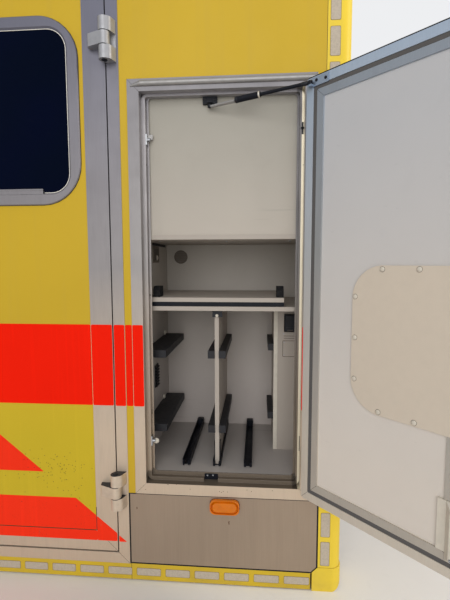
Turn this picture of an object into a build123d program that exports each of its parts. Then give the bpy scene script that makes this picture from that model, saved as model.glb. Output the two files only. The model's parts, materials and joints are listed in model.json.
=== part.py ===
"""Side wall section of an ambulance box body, with its entry door and its open equipment locker.

Millimetres. X runs towards the front of the vehicle, Y into the vehicle, Z up. The origin is the middle
of the four bolt holes in the mounting strip along the sill, on the strip's inner face.
"""
import os
from collections import namedtuple
from math import cos, radians, sin, sqrt

from build123d import *

Span = namedtuple("Span", "left right bottom top")

# Widths along the wall, from its front edge to its rear edge
corner_width = 84.0
front_strip = 27.5
locker_width = 645.0
middle_strip = 27.0
jamb_width = 44.0
entry_leaf_width = 800.0
rear_profile_width = 32.5

# Heights, from the sill up
rail_height = 65.5
skirt_height = 280.5
locker_height = 1479.5
entry_leaf_height = 2092.0
wall_over_jamb = 28.0
top_rail_height = 60.0

# Thicknesses
strip_thickness = 6.0
panel_thickness = 45.0
entry_leaf_thickness = 40.0
locker_leaf_thickness = 22.0
board_thickness = 16.0
carcass_wall = 12.0
profile_wall = 3.0
skin_sheet = 3.0

# Clearances
seam = 2.0
skirt_gap = 5.0
seat_gap = 1.0
door_gap = 5.0
free_edge_gap = 7.0
running_gap = 0.05

# Mounting holes of the sill
bolt_hole_radius = 6.5
bolt_from_end = 152.0
bolt_spacing_z = 32.0

wall_length = (corner_width + front_strip + locker_width + middle_strip
               + 2 * jamb_width + entry_leaf_width + rear_profile_width)
bolt_spacing_x = wall_length - 2 * bolt_from_end
front_x = wall_length / 2
rear_x = -front_x
corner_x = front_x - corner_width
locker_right = corner_x - front_strip
jamb_right = locker_right - locker_width - middle_strip

rail_top = rail_height / 2
rail_bottom = -rail_height / 2
locker_bottom = rail_top + skirt_height
entry_bottom = rail_top + jamb_width

liner_y = -strip_thickness
skin_y = liner_y - panel_thickness

locker_outer = Span(locker_right - locker_width, locker_right, locker_bottom, locker_bottom + locker_height)
entry_opening = Span(jamb_right - jamb_width - entry_leaf_width, jamb_right - jamb_width,
                     entry_bottom, entry_bottom + entry_leaf_height)
wall_top = entry_opening.top + jamb_width + wall_over_jamb


def grown(span, by):
    """The same rectangle with every side moved out by one distance."""
    return Span(span.left - by, span.right + by, span.bottom - by, span.top + by)


def cuboid(x, y, z, mode=Mode.ADD):
    """A box between two limits on each axis."""
    with Locations(((x[0] + x[1]) / 2, (y[0] + y[1]) / 2, (z[0] + z[1]) / 2)):
        Box(x[1] - x[0], y[1] - y[0], z[1] - z[0], mode=mode)


def facing(y):
    """The plane parallel to the wall at one depth, seen from outside: X to the right and Z up."""
    return Plane(origin=(0, y, 0), x_dir=(1, 0, 0), z_dir=(0, -1, 0))


def rectangle(span, radius=0.0, mode=Mode.ADD):
    """A rectangle in the sketch being drawn, with round corners where a radius is given."""
    width = span.right - span.left
    height = span.top - span.bottom
    with Locations(((span.left + span.right) / 2, (span.bottom + span.top) / 2)):
        if radius:
            RectangleRounded(width, height, radius, mode=mode)
        else:
            Rectangle(width, height, mode=mode)


def plate(span, y, radius=0.0, mode=Mode.ADD):
    """A plate parallel to the wall between two depths."""
    with BuildSketch(facing(y[0])) as outline:
        rectangle(span, radius)
    extrude(outline.sketch, amount=y[0] - y[1], mode=mode)


def ring(outer, inner, y, outer_radius=0.0, inner_radius=0.0, mode=Mode.ADD):
    """A rectangular ring parallel to the wall between two depths."""
    with BuildSketch(facing(y[0])) as outline:
        rectangle(outer, outer_radius)
        rectangle(inner, inner_radius, Mode.SUBTRACT)
    extrude(outline.sketch, amount=y[0] - y[1], mode=mode)


# Locker opening: an outer flange on the skin, a rebate wall through the panel, a raised lip with round
# corners that the door seals on, and a narrow land behind it
locker_flange = 41.0
flange_thickness = 2.0
frame_wall = 4.0
side_land = 21.4
sill_land = 26.5
head_land = 8.0
land_thickness = 4.0
land_groove_width = 4.5
land_groove_depth = 2.5
clear_corner_radius = 12.0
side_lip = 14.0
sill_lip = 12.5
lip_corner_radius = 20.0
lip_inner_radius = 6.0
strike_from_side = 191.0
strike_width = 51.0
strike_height = 21.5

rebate = grown(locker_outer, -locker_flange)
clear = Span(rebate.left + side_land, rebate.right - side_land,
             rebate.bottom + sill_land, rebate.top - head_land)
lip_inner = Span(rebate.left + side_lip, rebate.right - side_lip, rebate.bottom + sill_lip, clear.top)
flange_y = skin_y - flange_thickness
lip_y = skin_y + locker_leaf_thickness + door_gap
land_front = liner_y
land_back = liner_y + land_thickness
strike = Span(clear.left + strike_from_side, clear.left + strike_from_side + strike_width,
              rebate.bottom + seat_gap, rebate.bottom + seat_gap + strike_height)

with BuildPart() as locker_frame:
    ring(locker_outer, rebate, (flange_y, skin_y))
    ring(grown(rebate, frame_wall), rebate, (flange_y, land_back))
    ring(rebate, lip_inner, (lip_y, land_front), lip_corner_radius, lip_inner_radius)
    ring(rebate, clear, (land_front, land_back), inner_radius=clear_corner_radius)
    plate(Span(strike.left - seat_gap, strike.right + seat_gap, rebate.bottom, lip_inner.bottom),
          (lip_y, land_front), mode=Mode.SUBTRACT)
    for x in ((lip_inner.left, lip_inner.left + land_groove_width),
              (lip_inner.right - land_groove_width, lip_inner.right)):
        cuboid(x, (land_front, land_front + land_groove_depth), (clear.bottom, clear.top), Mode.SUBTRACT)
locker_frame.part.label = "locker_frame"

# Entry door jamb: flange on the skin, web through the panel and a stop behind the leaf
jamb_web = 4.0
stop_reach = 18.0
stop_thickness = 4.0
leaf_stop_gap = 5.0

jamb_outer = grown(entry_opening, jamb_width)
jamb_inner = grown(entry_opening, door_gap / 2)
entry_leaf = grown(entry_opening, -door_gap / 2)
leaf_back = skin_y + entry_leaf_thickness
stop_front = leaf_back + leaf_stop_gap

with BuildPart() as entry_jamb:
    ring(jamb_outer, jamb_inner, (flange_y, skin_y))
    ring(grown(jamb_inner, jamb_web), jamb_inner, (flange_y, stop_front + stop_thickness))
    ring(jamb_inner, grown(jamb_inner, -stop_reach), (stop_front, stop_front + stop_thickness))
entry_jamb.part.label = "entry_jamb"

# Sandwich wall panel with the two openings and the shallow pocket that the skirt sheet sits in
skirt_edge_fold = 3.0
corner_cut = 22.0
skirt = Span(jamb_right + skirt_gap, corner_x - skirt_gap, rail_top + skirt_gap, locker_bottom - seam)
skirt_corner_cut = corner_cut - (2 - sqrt(2)) * skirt_gap
panel_span = Span(rear_x + profile_wall + seat_gap, corner_x, rail_top, wall_top)
pocket_y = skin_y + skin_sheet + skirt_edge_fold

with BuildPart() as side_wall:
    plate(panel_span, (skin_y, liner_y))
    plate(grown(rebate, frame_wall + seat_gap), (skin_y, liner_y), mode=Mode.SUBTRACT)
    plate(grown(jamb_inner, jamb_web + seat_gap), (skin_y, liner_y), mode=Mode.SUBTRACT)
    plate(Span(jamb_right, corner_x, rail_top, locker_bottom), (skin_y, pocket_y), mode=Mode.SUBTRACT)
side_wall.part.label = "side_wall"

# Bare skirt sheet with folded edges, one corner cut off and the hole for the side marker lamp
lamp_width = 106.0
lamp_height = 52.0
lamp_from_skirt_top = 36.0
lamp_from_front = 340.0
lamp_seat = 6.0
lamp_gap = 1.0
lamp_x = corner_x - lamp_from_front
lamp_z = locker_bottom - lamp_from_skirt_top


def skirt_face():
    """The skirt with its lower front corner cut off, in the sketch being drawn."""
    with BuildLine() as outline:
        Polyline((skirt.left, skirt.bottom), (skirt.right - skirt_corner_cut, skirt.bottom),
                 (skirt.right, skirt.bottom + skirt_corner_cut), (skirt.right, skirt.top),
                 (skirt.left, skirt.top), close=True)
    make_face(outline.line)


def lamp_slot(inset, mode=Mode.ADD):
    """The lamp's outline moved in by one distance, in the sketch being drawn."""
    with Locations((lamp_x, lamp_z)):
        SlotOverall(lamp_width - 2 * inset, lamp_height - 2 * inset, mode=mode)


with BuildPart() as skirt_panel:
    with BuildSketch(facing(skin_y)):
        skirt_face()
        lamp_slot(lamp_seat, Mode.SUBTRACT)
    extrude(amount=-skin_sheet)
    with BuildSketch(facing(skin_y + skin_sheet)):
        skirt_face()
        offset(amount=-skin_sheet, kind=Kind.INTERSECTION, mode=Mode.SUBTRACT)
    extrude(amount=-skirt_edge_fold)
skirt_panel.part.label = "skirt_panel"

# Lamp: a flat rim, a lens whose sides slope in, and the body behind the skirt sheet
lamp_rim = 4.0
lamp_dome = 9.0
lens_slope = 30.0
with BuildPart() as side_marker_lamp:
    with BuildSketch(facing(skin_y)):
        lamp_slot(0)
    extrude(amount=lamp_rim)
    with BuildSketch(facing(skin_y - lamp_rim)):
        lamp_slot(lamp_rim)
    extrude(amount=lamp_dome, taper=lens_slope)
    with BuildSketch(facing(skin_y)):
        lamp_slot(lamp_seat + lamp_gap)
    extrude(amount=skin_y - pocket_y)
side_marker_lamp.part.label = "side_marker_lamp"

# Sill rail: a hollow extrusion, rounded under its outer face, with the mounting strip behind it
rail_front_x = corner_x - corner_cut - skirt_gap / 2
rail_lower_radius = 3.0
rail_upper_radius = 3.0
rail_mid_y = (skin_y + liner_y) / 2

with BuildPart() as bottom_rail:
    with BuildSketch(Plane(origin=(rear_x, 0, 0), x_dir=(0, 1, 0), z_dir=(1, 0, 0))) as section:
        with Locations((rail_mid_y, 0)):
            Rectangle(panel_thickness, rail_height)
        fillet(section.vertices().group_by(Axis.X)[0].sort_by(Axis.Y)[0], rail_lower_radius)
        fillet(section.vertices().group_by(Axis.X)[0].sort_by(Axis.Y)[-1], rail_upper_radius)
        offset(amount=-profile_wall, mode=Mode.SUBTRACT)
        with Locations((rail_mid_y, 0)):
            Rectangle(panel_thickness - profile_wall, profile_wall)
        with Locations((liner_y / 2, 0)):
            Rectangle(strip_thickness, rail_height)
    extrude(amount=rail_front_x - rear_x)
    with BuildSketch(Plane.XZ):
        with GridLocations(bolt_spacing_x, bolt_spacing_z, 2, 2):
            Circle(bolt_hole_radius)
    extrude(amount=strip_thickness + profile_wall, mode=Mode.SUBTRACT)
bottom_rail.part.label = "bottom_rail"

# Front corner: one rounded post over a short moulded corner at the sill
corner_radius = 38.0
corner_return = 120.0
post_wall = 3.5
post_lip = 18.0


def corner_outline(start_x, front):
    """Plan of a hollow rounded corner, from a seam on the side to the end of its return on the front."""
    round_x = front - corner_radius
    round_y = skin_y + corner_radius
    inside_x = front - post_wall
    inside_y = skin_y + post_wall
    return_y = skin_y + corner_return
    with BuildLine() as outline:
        Polyline((start_x, skin_y), (round_x, skin_y))
        RadiusArc((round_x, skin_y), (front, round_y), -corner_radius)
        Polyline((front, round_y), (front, return_y), (inside_x, return_y), (inside_x, round_y))
        RadiusArc((inside_x, round_y), (round_x, inside_y), corner_radius - post_wall)
        Polyline((round_x, inside_y), (start_x, inside_y), (start_x, skin_y))
    make_face(outline.line)


corner_bottom = rail_top + corner_cut
lower_corner_x = corner_x - corner_cut + skirt_gap / 2
with BuildPart() as front_corner_post:
    with BuildSketch(Plane.XY.offset(corner_bottom + seam)):
        corner_outline(corner_x, front_x)
        with Locations((corner_x, skin_y)):
            Rectangle(post_lip, panel_thickness, align=(Align.MIN, Align.MIN))
    extrude(amount=wall_top - corner_bottom - seam)
front_corner_post.part.label = "front_corner_post"

# Lower corner moulding: below the post and a little larger, cut off beside the skirt and rounded under
# its front
lower_corner_round = 38.0
lower_corner_proud = 3.5
lower_corner_front = front_x + lower_corner_proud
lower_corner_bottom = rail_bottom - lower_corner_proud
with BuildPart() as lower_corner:
    for start_x, bottom, top in ((lower_corner_x, lower_corner_bottom, rail_top),
                                 (corner_x, rail_top, corner_bottom)):
        with BuildSketch(Plane.XY.offset(bottom)):
            corner_outline(lower_corner_x, lower_corner_front)
            with Locations((start_x, skin_y)):
                Rectangle(post_lip, panel_thickness, align=(Align.MIN, Align.MIN))
        extrude(amount=top - bottom)
    with BuildSketch(facing(skin_y)):
        with BuildLine():
            Polyline((lower_corner_x, rail_top + skirt_gap / 2), (corner_x, corner_bottom),
                     (lower_corner_x, corner_bottom), close=True)
        make_face()
    extrude(amount=-panel_thickness, mode=Mode.SUBTRACT)
    with BuildSketch(facing(skin_y)):
        with Locations((lower_corner_front, lower_corner_bottom)):
            Rectangle(lower_corner_round, lower_corner_round, align=(Align.MAX, Align.MIN))
        with Locations((lower_corner_front - lower_corner_round, lower_corner_bottom + lower_corner_round)):
            Circle(lower_corner_round, mode=Mode.SUBTRACT)
    extrude(amount=-corner_return, mode=Mode.SUBTRACT)
lower_corner.part.label = "lower_corner"

# Cant rail along the top edge, rounded outside and hollow
with BuildPart() as top_rail:
    with BuildSketch(Plane(origin=(rear_x, 0, wall_top), x_dir=(0, 1, 0), z_dir=(1, 0, 0))):
        with BuildLine():
            Polyline((skin_y, 0), (skin_y, top_rail_height - corner_radius))
            RadiusArc((skin_y, top_rail_height - corner_radius), (skin_y + corner_radius, top_rail_height),
                      corner_radius)
            Polyline((skin_y + corner_radius, top_rail_height), (0, top_rail_height), (0, 0), (skin_y, 0))
        make_face()
        offset(amount=-profile_wall, mode=Mode.SUBTRACT)
    extrude(amount=corner_x - rear_x)
top_rail.part.label = "top_rail"

# Upper corner moulding, where the post meets the cant rails of the side and the front: thick enough
# inside its round edges for a plain square hollow
upper_corner_wall = 14.0
with BuildPart() as upper_corner:
    with BuildSketch(Plane.XY.offset(wall_top)):
        with Locations((front_x, skin_y)):
            Rectangle(corner_width - seam, corner_return, align=(Align.MAX, Align.MIN))
    extrude(amount=top_rail_height)
    outer = (upper_corner.edges().filter_by(Axis.Z).group_by(Axis.X)[-1].sort_by(Axis.Y)[0],
             upper_corner.edges().filter_by(Axis.X).group_by(Axis.Z)[-1].sort_by(Axis.Y)[0],
             upper_corner.edges().filter_by(Axis.Y).group_by(Axis.Z)[-1].sort_by(Axis.X)[-1])
    fillet(outer, corner_radius)
    cuboid((corner_x, front_x - upper_corner_wall), (skin_y + upper_corner_wall, skin_y + corner_return),
           (wall_top, wall_top + top_rail_height - upper_corner_wall), Mode.SUBTRACT)
upper_corner.part.label = "upper_corner"

# Channel that closes the rear edge, where the next length of wall joins
with BuildPart() as rear_joint_profile:
    cuboid((rear_x, rear_x + profile_wall), (flange_y, liner_y + flange_thickness), (rail_top, wall_top))
    for y in ((flange_y, skin_y), (liner_y, liner_y + flange_thickness)):
        cuboid((rear_x, rear_x + rear_profile_width), y, (rail_top, wall_top))
rear_joint_profile.part.label = "rear_joint_profile"

# Rain strip on the frame's head: a half round bead that is pinched to a thin, low rear end
drip_radius = 10.0
drip_end_radius = 3.0
drip_from_top = 6.0
drip_taper = 35.0
drip_x = (locker_outer.left + 12.5, locker_outer.right - 5)
drip_bottom = locker_outer.top - drip_from_top - 2 * drip_radius


def drip_section(x, radius):
    """The bead's half round section on the frame's flange at one place along it."""
    with BuildSketch(Plane(origin=(x, 0, 0), x_dir=(0, 1, 0), z_dir=(1, 0, 0))) as outline:
        with Locations((flange_y, drip_bottom + radius)):
            Circle(radius)
            Rectangle(2 * radius, 2 * radius, align=(Align.MIN, Align.CENTER), mode=Mode.SUBTRACT)
    return outline.sketch


with BuildPart() as drip_rail:
    full_section = drip_section(drip_x[0] + drip_taper, drip_radius)
    loft([drip_section(drip_x[0], drip_end_radius), full_section])
    extrude(full_section, amount=drip_x[1] - drip_x[0] - drip_taper)
drip_rail.part.label = "drip_rail"

# Locker carcass: boards behind the wall panel, wider than the clear opening
carcass_reach = 48.4
carcass_depth = 485.0
carcass_head = 20.0
cabin = Span(clear.left - carcass_reach, clear.right + carcass_reach,
             clear.bottom, rebate.top + carcass_head)
back_y = liner_y + carcass_depth
carcass_z = (cabin.bottom - board_thickness, cabin.top + board_thickness)

with BuildPart() as locker_side_walls:
    for x in ((cabin.left - carcass_wall, cabin.left), (cabin.right, cabin.right + carcass_wall)):
        cuboid(x, (liner_y, back_y), carcass_z)
locker_side_walls.part.label = "locker_side_walls"

with BuildPart() as locker_floor:
    cuboid((cabin.left, cabin.right), (land_back, back_y), (cabin.bottom - board_thickness, cabin.bottom))
locker_floor.part.label = "locker_floor"

with BuildPart() as locker_roof:
    cuboid((cabin.left, cabin.right), (liner_y, back_y), (cabin.top, cabin.top + board_thickness))
locker_roof.part.label = "locker_roof"

# Round vent low in the back of the upper bay, slatted
vent_from_left = 68.0
vent_height = 815.0
vent_radius = 32.0
vent_lap = 6.0
vent_ring = 7.0
vent_rim = 5.0
vent_slats = 4
slat_height = 6.0
vent_x = cabin.left + vent_from_left
vent_z = cabin.bottom + vent_height
vent_bore = vent_radius - vent_ring
with BuildPart() as locker_back:
    plate(Span(cabin.left - carcass_wall, cabin.right + carcass_wall, *carcass_z),
          (back_y, back_y + carcass_wall))
    with BuildSketch(facing(back_y)):
        with Locations((vent_x, vent_z)):
            Circle(vent_radius - vent_lap)
    extrude(amount=-carcass_wall, mode=Mode.SUBTRACT)
locker_back.part.label = "locker_back"

with BuildPart() as vent:
    with BuildSketch(facing(back_y)):
        with Locations((vent_x, vent_z)):
            Circle(vent_radius)
            Circle(vent_bore, mode=Mode.SUBTRACT)
            with GridLocations(0, 2 * vent_bore / (vent_slats + 1), 1, vent_slats):
                Rectangle(vent_radius + vent_bore, slat_height)
    extrude(amount=vent_rim)
vent.part.label = "vent"

# Shelves and cover of the locker, by the height of each one's top face over the floor
partition_top = 888.0
fixed_shelf_top = 626.0
tray_lift = 17.0
tray_width = 529.0
tray_front = 24.0
tray_depth = 410.0
shelf_front = 24.0
cover_front = 4.0
partition_front = 2.0
partition_z = (cabin.bottom + partition_top - board_thickness, cabin.bottom + partition_top)
shelf_z = (cabin.bottom + fixed_shelf_top - board_thickness, cabin.bottom + fixed_shelf_top)
tray_z = (shelf_z[1] + tray_lift, shelf_z[1] + tray_lift + board_thickness)

with BuildPart() as upper_cover:
    cuboid((cabin.left, cabin.right), (cover_front, cover_front + carcass_wall), (partition_z[1], cabin.top))
upper_cover.part.label = "upper_cover"

with BuildPart() as locker_shelves:
    for front, z in ((partition_front, partition_z), (shelf_front, shelf_z)):
        cuboid((cabin.left, cabin.right), (front, back_y), z)
locker_shelves.part.label = "locker_shelves"

tray_gap = 3.0
tray_x = (cabin.left + tray_gap, cabin.left + tray_gap + tray_width)
with BuildPart() as tray:
    cuboid(tray_x, (tray_front, tray_front + tray_depth), tray_z)
tray.part.label = "tray"

# Slides under the tray, joined by a cross bar behind its front edge
slide_width = 20.0
slide_inset = 30.0
cross_bar = 8.0
cross_bar_set_back = 5.0
cross_bar_y = (tray_front + cross_bar_set_back, tray_front + cross_bar_set_back + cross_bar)
with BuildPart() as tray_slides:
    for x in (tray_x[0] + slide_inset, tray_x[1] - slide_inset - slide_width):
        cuboid((x, x + slide_width), (cross_bar_y[0], tray_front + tray_depth - slide_inset),
               (shelf_z[1], tray_z[0]))
    cuboid(tray_x, cross_bar_y, (shelf_z[1] + seat_gap, tray_z[0]))
tray_slides.part.label = "tray_slides"

# Rubber clamps on the tray, sloped at their front
clamp_size = (26.0, 60.0, 40.0)
clamp_from_left = 36.0
clamp_set_back = 25.0
clamp_slope = 14.0
clamp_y = (tray_front + clamp_set_back, tray_front + clamp_set_back + clamp_size[1])
with BuildPart() as tray_clamps:
    for x in (tray_x[0] + clamp_from_left, tray_x[1] - clamp_size[0]):
        cuboid((x, x + clamp_size[0]), clamp_y, (tray_z[1], tray_z[1] + clamp_size[2]))
    chamfer(tray_clamps.edges().filter_by(Axis.X).group_by(Axis.Z)[-1].group_by(Axis.Y)[0], clamp_slope)
tray_clamps.part.label = "tray_clamps"

# Floor channels, the divider that stands in the middle one, and the guides for what is stored
channel_spacing = 120.0
channel_width = 31.0
channel_height = 25.0
channel_wall = 3.0
channel_prong = 6.0
channel_end_gap = 12.0
channel_y = (47.0, back_y - channel_end_gap)
divider_from_left = 281.0
divider_set_back = 10.0
divider_x = cabin.left + divider_from_left
channel_middles = [(step * channel_spacing, channel_height / 2) for step in (-1, 0, 1)]

channel_front = Plane(origin=(divider_x, channel_y[0], cabin.bottom), x_dir=(1, 0, 0), z_dir=(0, -1, 0))
with BuildPart() as floor_channels:
    with BuildSketch(channel_front):
        with Locations(*channel_middles):
            Rectangle(channel_width, channel_height)
        with Locations(*[(x, z + channel_wall) for x, z in channel_middles]):
            Rectangle(channel_width - 2 * channel_wall, channel_height, mode=Mode.SUBTRACT)
    extrude(amount=channel_y[0] - channel_y[1])
    with BuildSketch(channel_front):
        with Locations(*channel_middles):
            Rectangle(channel_width - 2 * channel_wall, channel_height)
    extrude(amount=-channel_prong, mode=Mode.SUBTRACT)
floor_channels.part.label = "floor_channels"

divider_side = (divider_x - board_thickness / 2, divider_x + board_thickness / 2)
with BuildPart() as divider:
    cuboid(divider_side, (channel_y[0] + divider_set_back, back_y),
           (cabin.bottom + channel_wall, shelf_z[0]))
divider.part.label = "divider"

box_front = 209.0
box_width = 113.0
box_x = cabin.right - box_width
guide_height = 29.0
guide_tops = (453.0, 161.0)
guide_front = 49.0
guide_back = 437.0
guide_behind_box = 4.0
wide_guide = 85.0
divider_guide = 26.0
box_guide = 24.0
# Each row: the side it is fixed to, its width towards +X or -X, and its front end
guide_rows = (
    (cabin.left, wide_guide, guide_front),
    (divider_side[0], -divider_guide, guide_front),
    (divider_side[1], divider_guide, guide_front),
    (box_x, -box_guide, box_front + guide_behind_box),
)
with BuildPart() as side_guides:
    for side, width, front in guide_rows:
        for top in guide_tops:
            cuboid(sorted((side, side + width)), (front, guide_back),
                   (cabin.bottom + top - guide_height, cabin.bottom + top))
side_guides.part.label = "side_guides"

# Boxed-in corner at the front of the lower bay, with its control unit
with BuildPart() as service_box:
    cuboid((box_x, box_x + carcass_wall), (box_front, back_y), (cabin.bottom, shelf_z[0]))
    cuboid((box_x + carcass_wall, cabin.right), (box_front, box_front + carcass_wall),
           (cabin.bottom, shelf_z[0]))
service_box.part.label = "service_box"

unit_size = (61.0, 22.0, 72.0)
unit_from_box_edge = 40.0
unit_top = 578.0
unit_bevel = 4.0
unit_face = (45.0, 34.0)
unit_face_depth = 2.0
unit_x = box_x + unit_from_box_edge
unit_z = cabin.bottom + unit_top - unit_size[2]
with BuildPart() as control_unit:
    cuboid((unit_x, unit_x + unit_size[0]), (box_front - unit_size[1], box_front),
           (unit_z, unit_z + unit_size[2]))
    chamfer(control_unit.faces().sort_by(Axis.Y)[0].edges(), unit_bevel)
    with BuildSketch(facing(box_front - unit_size[1])):
        with Locations((unit_x + unit_size[0] / 2, unit_z + unit_size[2] / 2)):
            Rectangle(*unit_face)
    extrude(amount=-unit_face_depth, mode=Mode.SUBTRACT)
control_unit.part.label = "control_unit"

# Strikers on the rear side of the raised lip, and the strike plate in the gap of its sill
striker_heights = (1220.0, 123.0)
striker_base = (4.0, 18.0, 36.0)
striker_radius = 6.0
striker_from_land = 10.0
striker_length = 10.0
striker_x = lip_inner.left + striker_base[0]
with BuildPart() as striker_pins:
    for height in striker_heights:
        z = cabin.bottom + height
        cuboid((lip_inner.left, striker_x), (land_front - striker_base[1], land_front),
               (z - striker_base[2] / 2, z + striker_base[2] / 2))
        with BuildSketch(Plane(origin=(striker_x, land_front - striker_from_land, z),
                               x_dir=(0, 1, 0), z_dir=(1, 0, 0))):
            Circle(striker_radius)
        extrude(amount=striker_length)
striker_pins.part.label = "striker_pins"

strike_thickness = 3.0
with BuildPart() as strike_plate:
    plate(strike, (land_front - strike_thickness, land_front), radius=strike_thickness)
strike_plate.part.label = "strike_plate"

# Entry door leaf: frame, panel, window and hinges
stile_width = 80.0
entry_field = grown(entry_leaf, -stile_width)
with BuildPart() as entry_door_frame:
    ring(entry_leaf, entry_field, (skin_y, leaf_back))
entry_door_frame.part.label = "entry_door_frame"

panel_set_back = 1.0
window_from_side = 15.5
window_from_head = 75.5
window_height = 636.5
window_radius = 143.0
window_flange = 30.0
window_proud = 6.0
window_bevel = 3.0
bead_width = 14.0
bead_slope = 50.0
glass_radius = 66.0
clamp_ring = 3.0
hole_from_edge = 18.0
hole_radius = 110.0
glass_thickness = 6.0
glass_lap = 8.5
glass_gap = 0.5
panel_y = (skin_y + panel_set_back, leaf_back - panel_set_back)
window_outer = Span(entry_field.left + window_from_side, entry_field.right - window_from_side,
                    entry_field.top - window_from_head - window_height, entry_field.top - window_from_head)
window_clear = grown(window_outer, -window_flange - bead_width)
window_hole = grown(window_outer, -hole_from_edge)
window_y = skin_y - window_proud
glass_seat = glass_lap + glass_gap
glass_outer = grown(window_clear, glass_seat)

with BuildPart() as entry_door_panel:
    plate(entry_field, panel_y)
    plate(window_hole, panel_y, hole_radius, Mode.SUBTRACT)
entry_door_panel.part.label = "entry_door_panel"

with BuildPart() as entry_window_frame:
    plate(window_outer, (window_y, panel_y[0]), window_radius)
    chamfer(entry_window_frame.faces().sort_by(Axis.Y)[0].edges(), window_bevel)
    with BuildSketch(facing(panel_y[0])):
        rectangle(window_clear, glass_radius)
    extrude(amount=panel_y[0] - window_y, taper=-bead_slope, mode=Mode.SUBTRACT)
    ring(grown(window_hole, -seat_gap), glass_outer, panel_y, hole_radius - seat_gap,
         glass_radius + glass_seat)
    ring(window_outer, glass_outer, (panel_y[1], panel_y[1] + clamp_ring), window_radius,
         glass_radius + glass_seat)
entry_window_frame.part.label = "entry_window_frame"

with BuildPart() as entry_window_glass:
    plate(grown(window_clear, glass_lap), (panel_y[0], panel_y[0] + glass_thickness),
          glass_radius + glass_lap)
entry_window_glass.part.label = "entry_window_glass"

# Entry hinges: three knuckles on one pin, the middle one on the leaf. Each half is a barrel that
# runs out in a drop shape, full in its shoulder, to its foot on the surface
entry_pin_off_skin = 25.0
entry_pin_from_edge = 5.0
entry_pin_x = entry_opening.right + entry_pin_from_edge
entry_pin_y = skin_y - entry_pin_off_skin
knuckle_radius = 19.0
knuckle_height = 44.5
knuckle_gap = 1.5
hinge_pin_radius = 6.0
entry_hinge_heights = (1914.0, 330.0)
leaf_foot_reach = 62.0
jamb_foot_reach = 33.0
foot_thickness = 4.0
foot_from_edge = 3.0
base_from_pin = 12.0
base_thickness = 3.0
# Each shoulder: its middle, measured from the pin, and its radius
jamb_shoulder = (8.0, 4.0, 19.0)
leaf_shoulder = (-52.0, 9.0, 8.0)


def knuckle(x, y, z, radius, height):
    """A hinge barrel section standing on one height."""
    with BuildSketch(Plane(origin=(x, y, z), x_dir=(1, 0, 0), z_dir=(0, 0, 1))) as outline:
        Circle(radius)
    extrude(outline.sketch, amount=height)


def hinge_half(plane, radius, foot_x, foot_y, height, shoulder=None):
    """A barrel on the plane's origin and its drop shaped run to a foot between two limits on each axis."""
    with BuildSketch(plane) as outline:
        Circle(radius)
        with Locations(((foot_x[0] + foot_x[1]) / 2, (foot_y[0] + foot_y[1]) / 2)):
            Rectangle(foot_x[1] - foot_x[0], foot_y[1] - foot_y[0])
        if shoulder:
            with Locations(shoulder[:2]):
                Circle(shoulder[2])
        make_hull()
    extrude(outline.sketch, amount=height)


with BuildPart() as jamb_hinges:
    foot_y = (flange_y - entry_pin_y - foot_thickness, flange_y - entry_pin_y)
    for middle in entry_hinge_heights:
        bottom = middle - 1.5 * knuckle_height
        top = middle + 1.5 * knuckle_height
        for z in (bottom, top - knuckle_height):
            hinge_half(Plane(origin=(entry_pin_x, entry_pin_y, z)), knuckle_radius,
                       (0, jamb_foot_reach), foot_y, knuckle_height, jamb_shoulder)
        cuboid((entry_pin_x + base_from_pin, entry_pin_x + jamb_foot_reach),
               (flange_y - base_thickness, flange_y), (bottom, top))
        knuckle(entry_pin_x, entry_pin_y, bottom, hinge_pin_radius, top - bottom)
jamb_hinges.part.label = "jamb_hinges"

with BuildPart() as entry_door_hinges:
    foot_x = (-leaf_foot_reach, entry_leaf.right - foot_from_edge - entry_pin_x)
    foot_y = (entry_pin_off_skin - foot_thickness, entry_pin_off_skin)
    height = knuckle_height - 2 * knuckle_gap
    for middle in entry_hinge_heights:
        hinge_half(Plane(origin=(entry_pin_x, entry_pin_y, middle - height / 2)), knuckle_radius,
                   foot_x, foot_y, height, leaf_shoulder)
        with Locations((entry_pin_x, entry_pin_y, middle)):
            Cylinder(hinge_pin_radius + running_gap, height, mode=Mode.SUBTRACT)
entry_door_hinges.part.label = "entry_door_hinges"

# Grab handle near the free edge of the entry door: a straight grip on two posts with round roses
handle_from_edge = 130.0
handle_middle = 1010.0
handle_length = 224.0
handle_stand = 44.0
handle_radius = 9.0
handle_bevel = 3.0
post_radius = 7.0
post_inset = 22.0
rose_radius = 20.0
rose_thickness = 6.0
handle_x = entry_leaf.left + handle_from_edge
handle_y = skin_y - handle_stand
post_spacing = handle_length - 2 * post_inset
with BuildPart() as entry_door_handle:
    with Locations((handle_x, handle_y, handle_middle)):
        Cylinder(handle_radius, handle_length)
    chamfer(entry_door_handle.edges().filter_by(GeomType.CIRCLE), handle_bevel)
    for radius, reach in ((post_radius, panel_y[0] - handle_y), (rose_radius, rose_thickness)):
        with BuildSketch(facing(panel_y[0])):
            with Locations((handle_x, handle_middle)):
                with GridLocations(1, post_spacing, 1, 2):
                    Circle(radius)
        extrude(amount=reach)
entry_door_handle.part.label = "entry_door_handle"

# Locker door: described as it lies when shut, measured from its hinge pin, and stored open by this angle
locker_open_angle = 134.0
locker_pin_from_rebate = 13.0
locker_pin_off_skin = 16.0
locker_pin_x = rebate.right + locker_pin_from_rebate
locker_pin_y = skin_y - locker_pin_off_skin
leaf_recess = 4.0
rim_width = 28.0
groove_width = 14.0
lip_width = 25.0
lip_width_at_lock = 39.0
groove_depth = 6.0
locker_leaf_radius = 12.0

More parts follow.
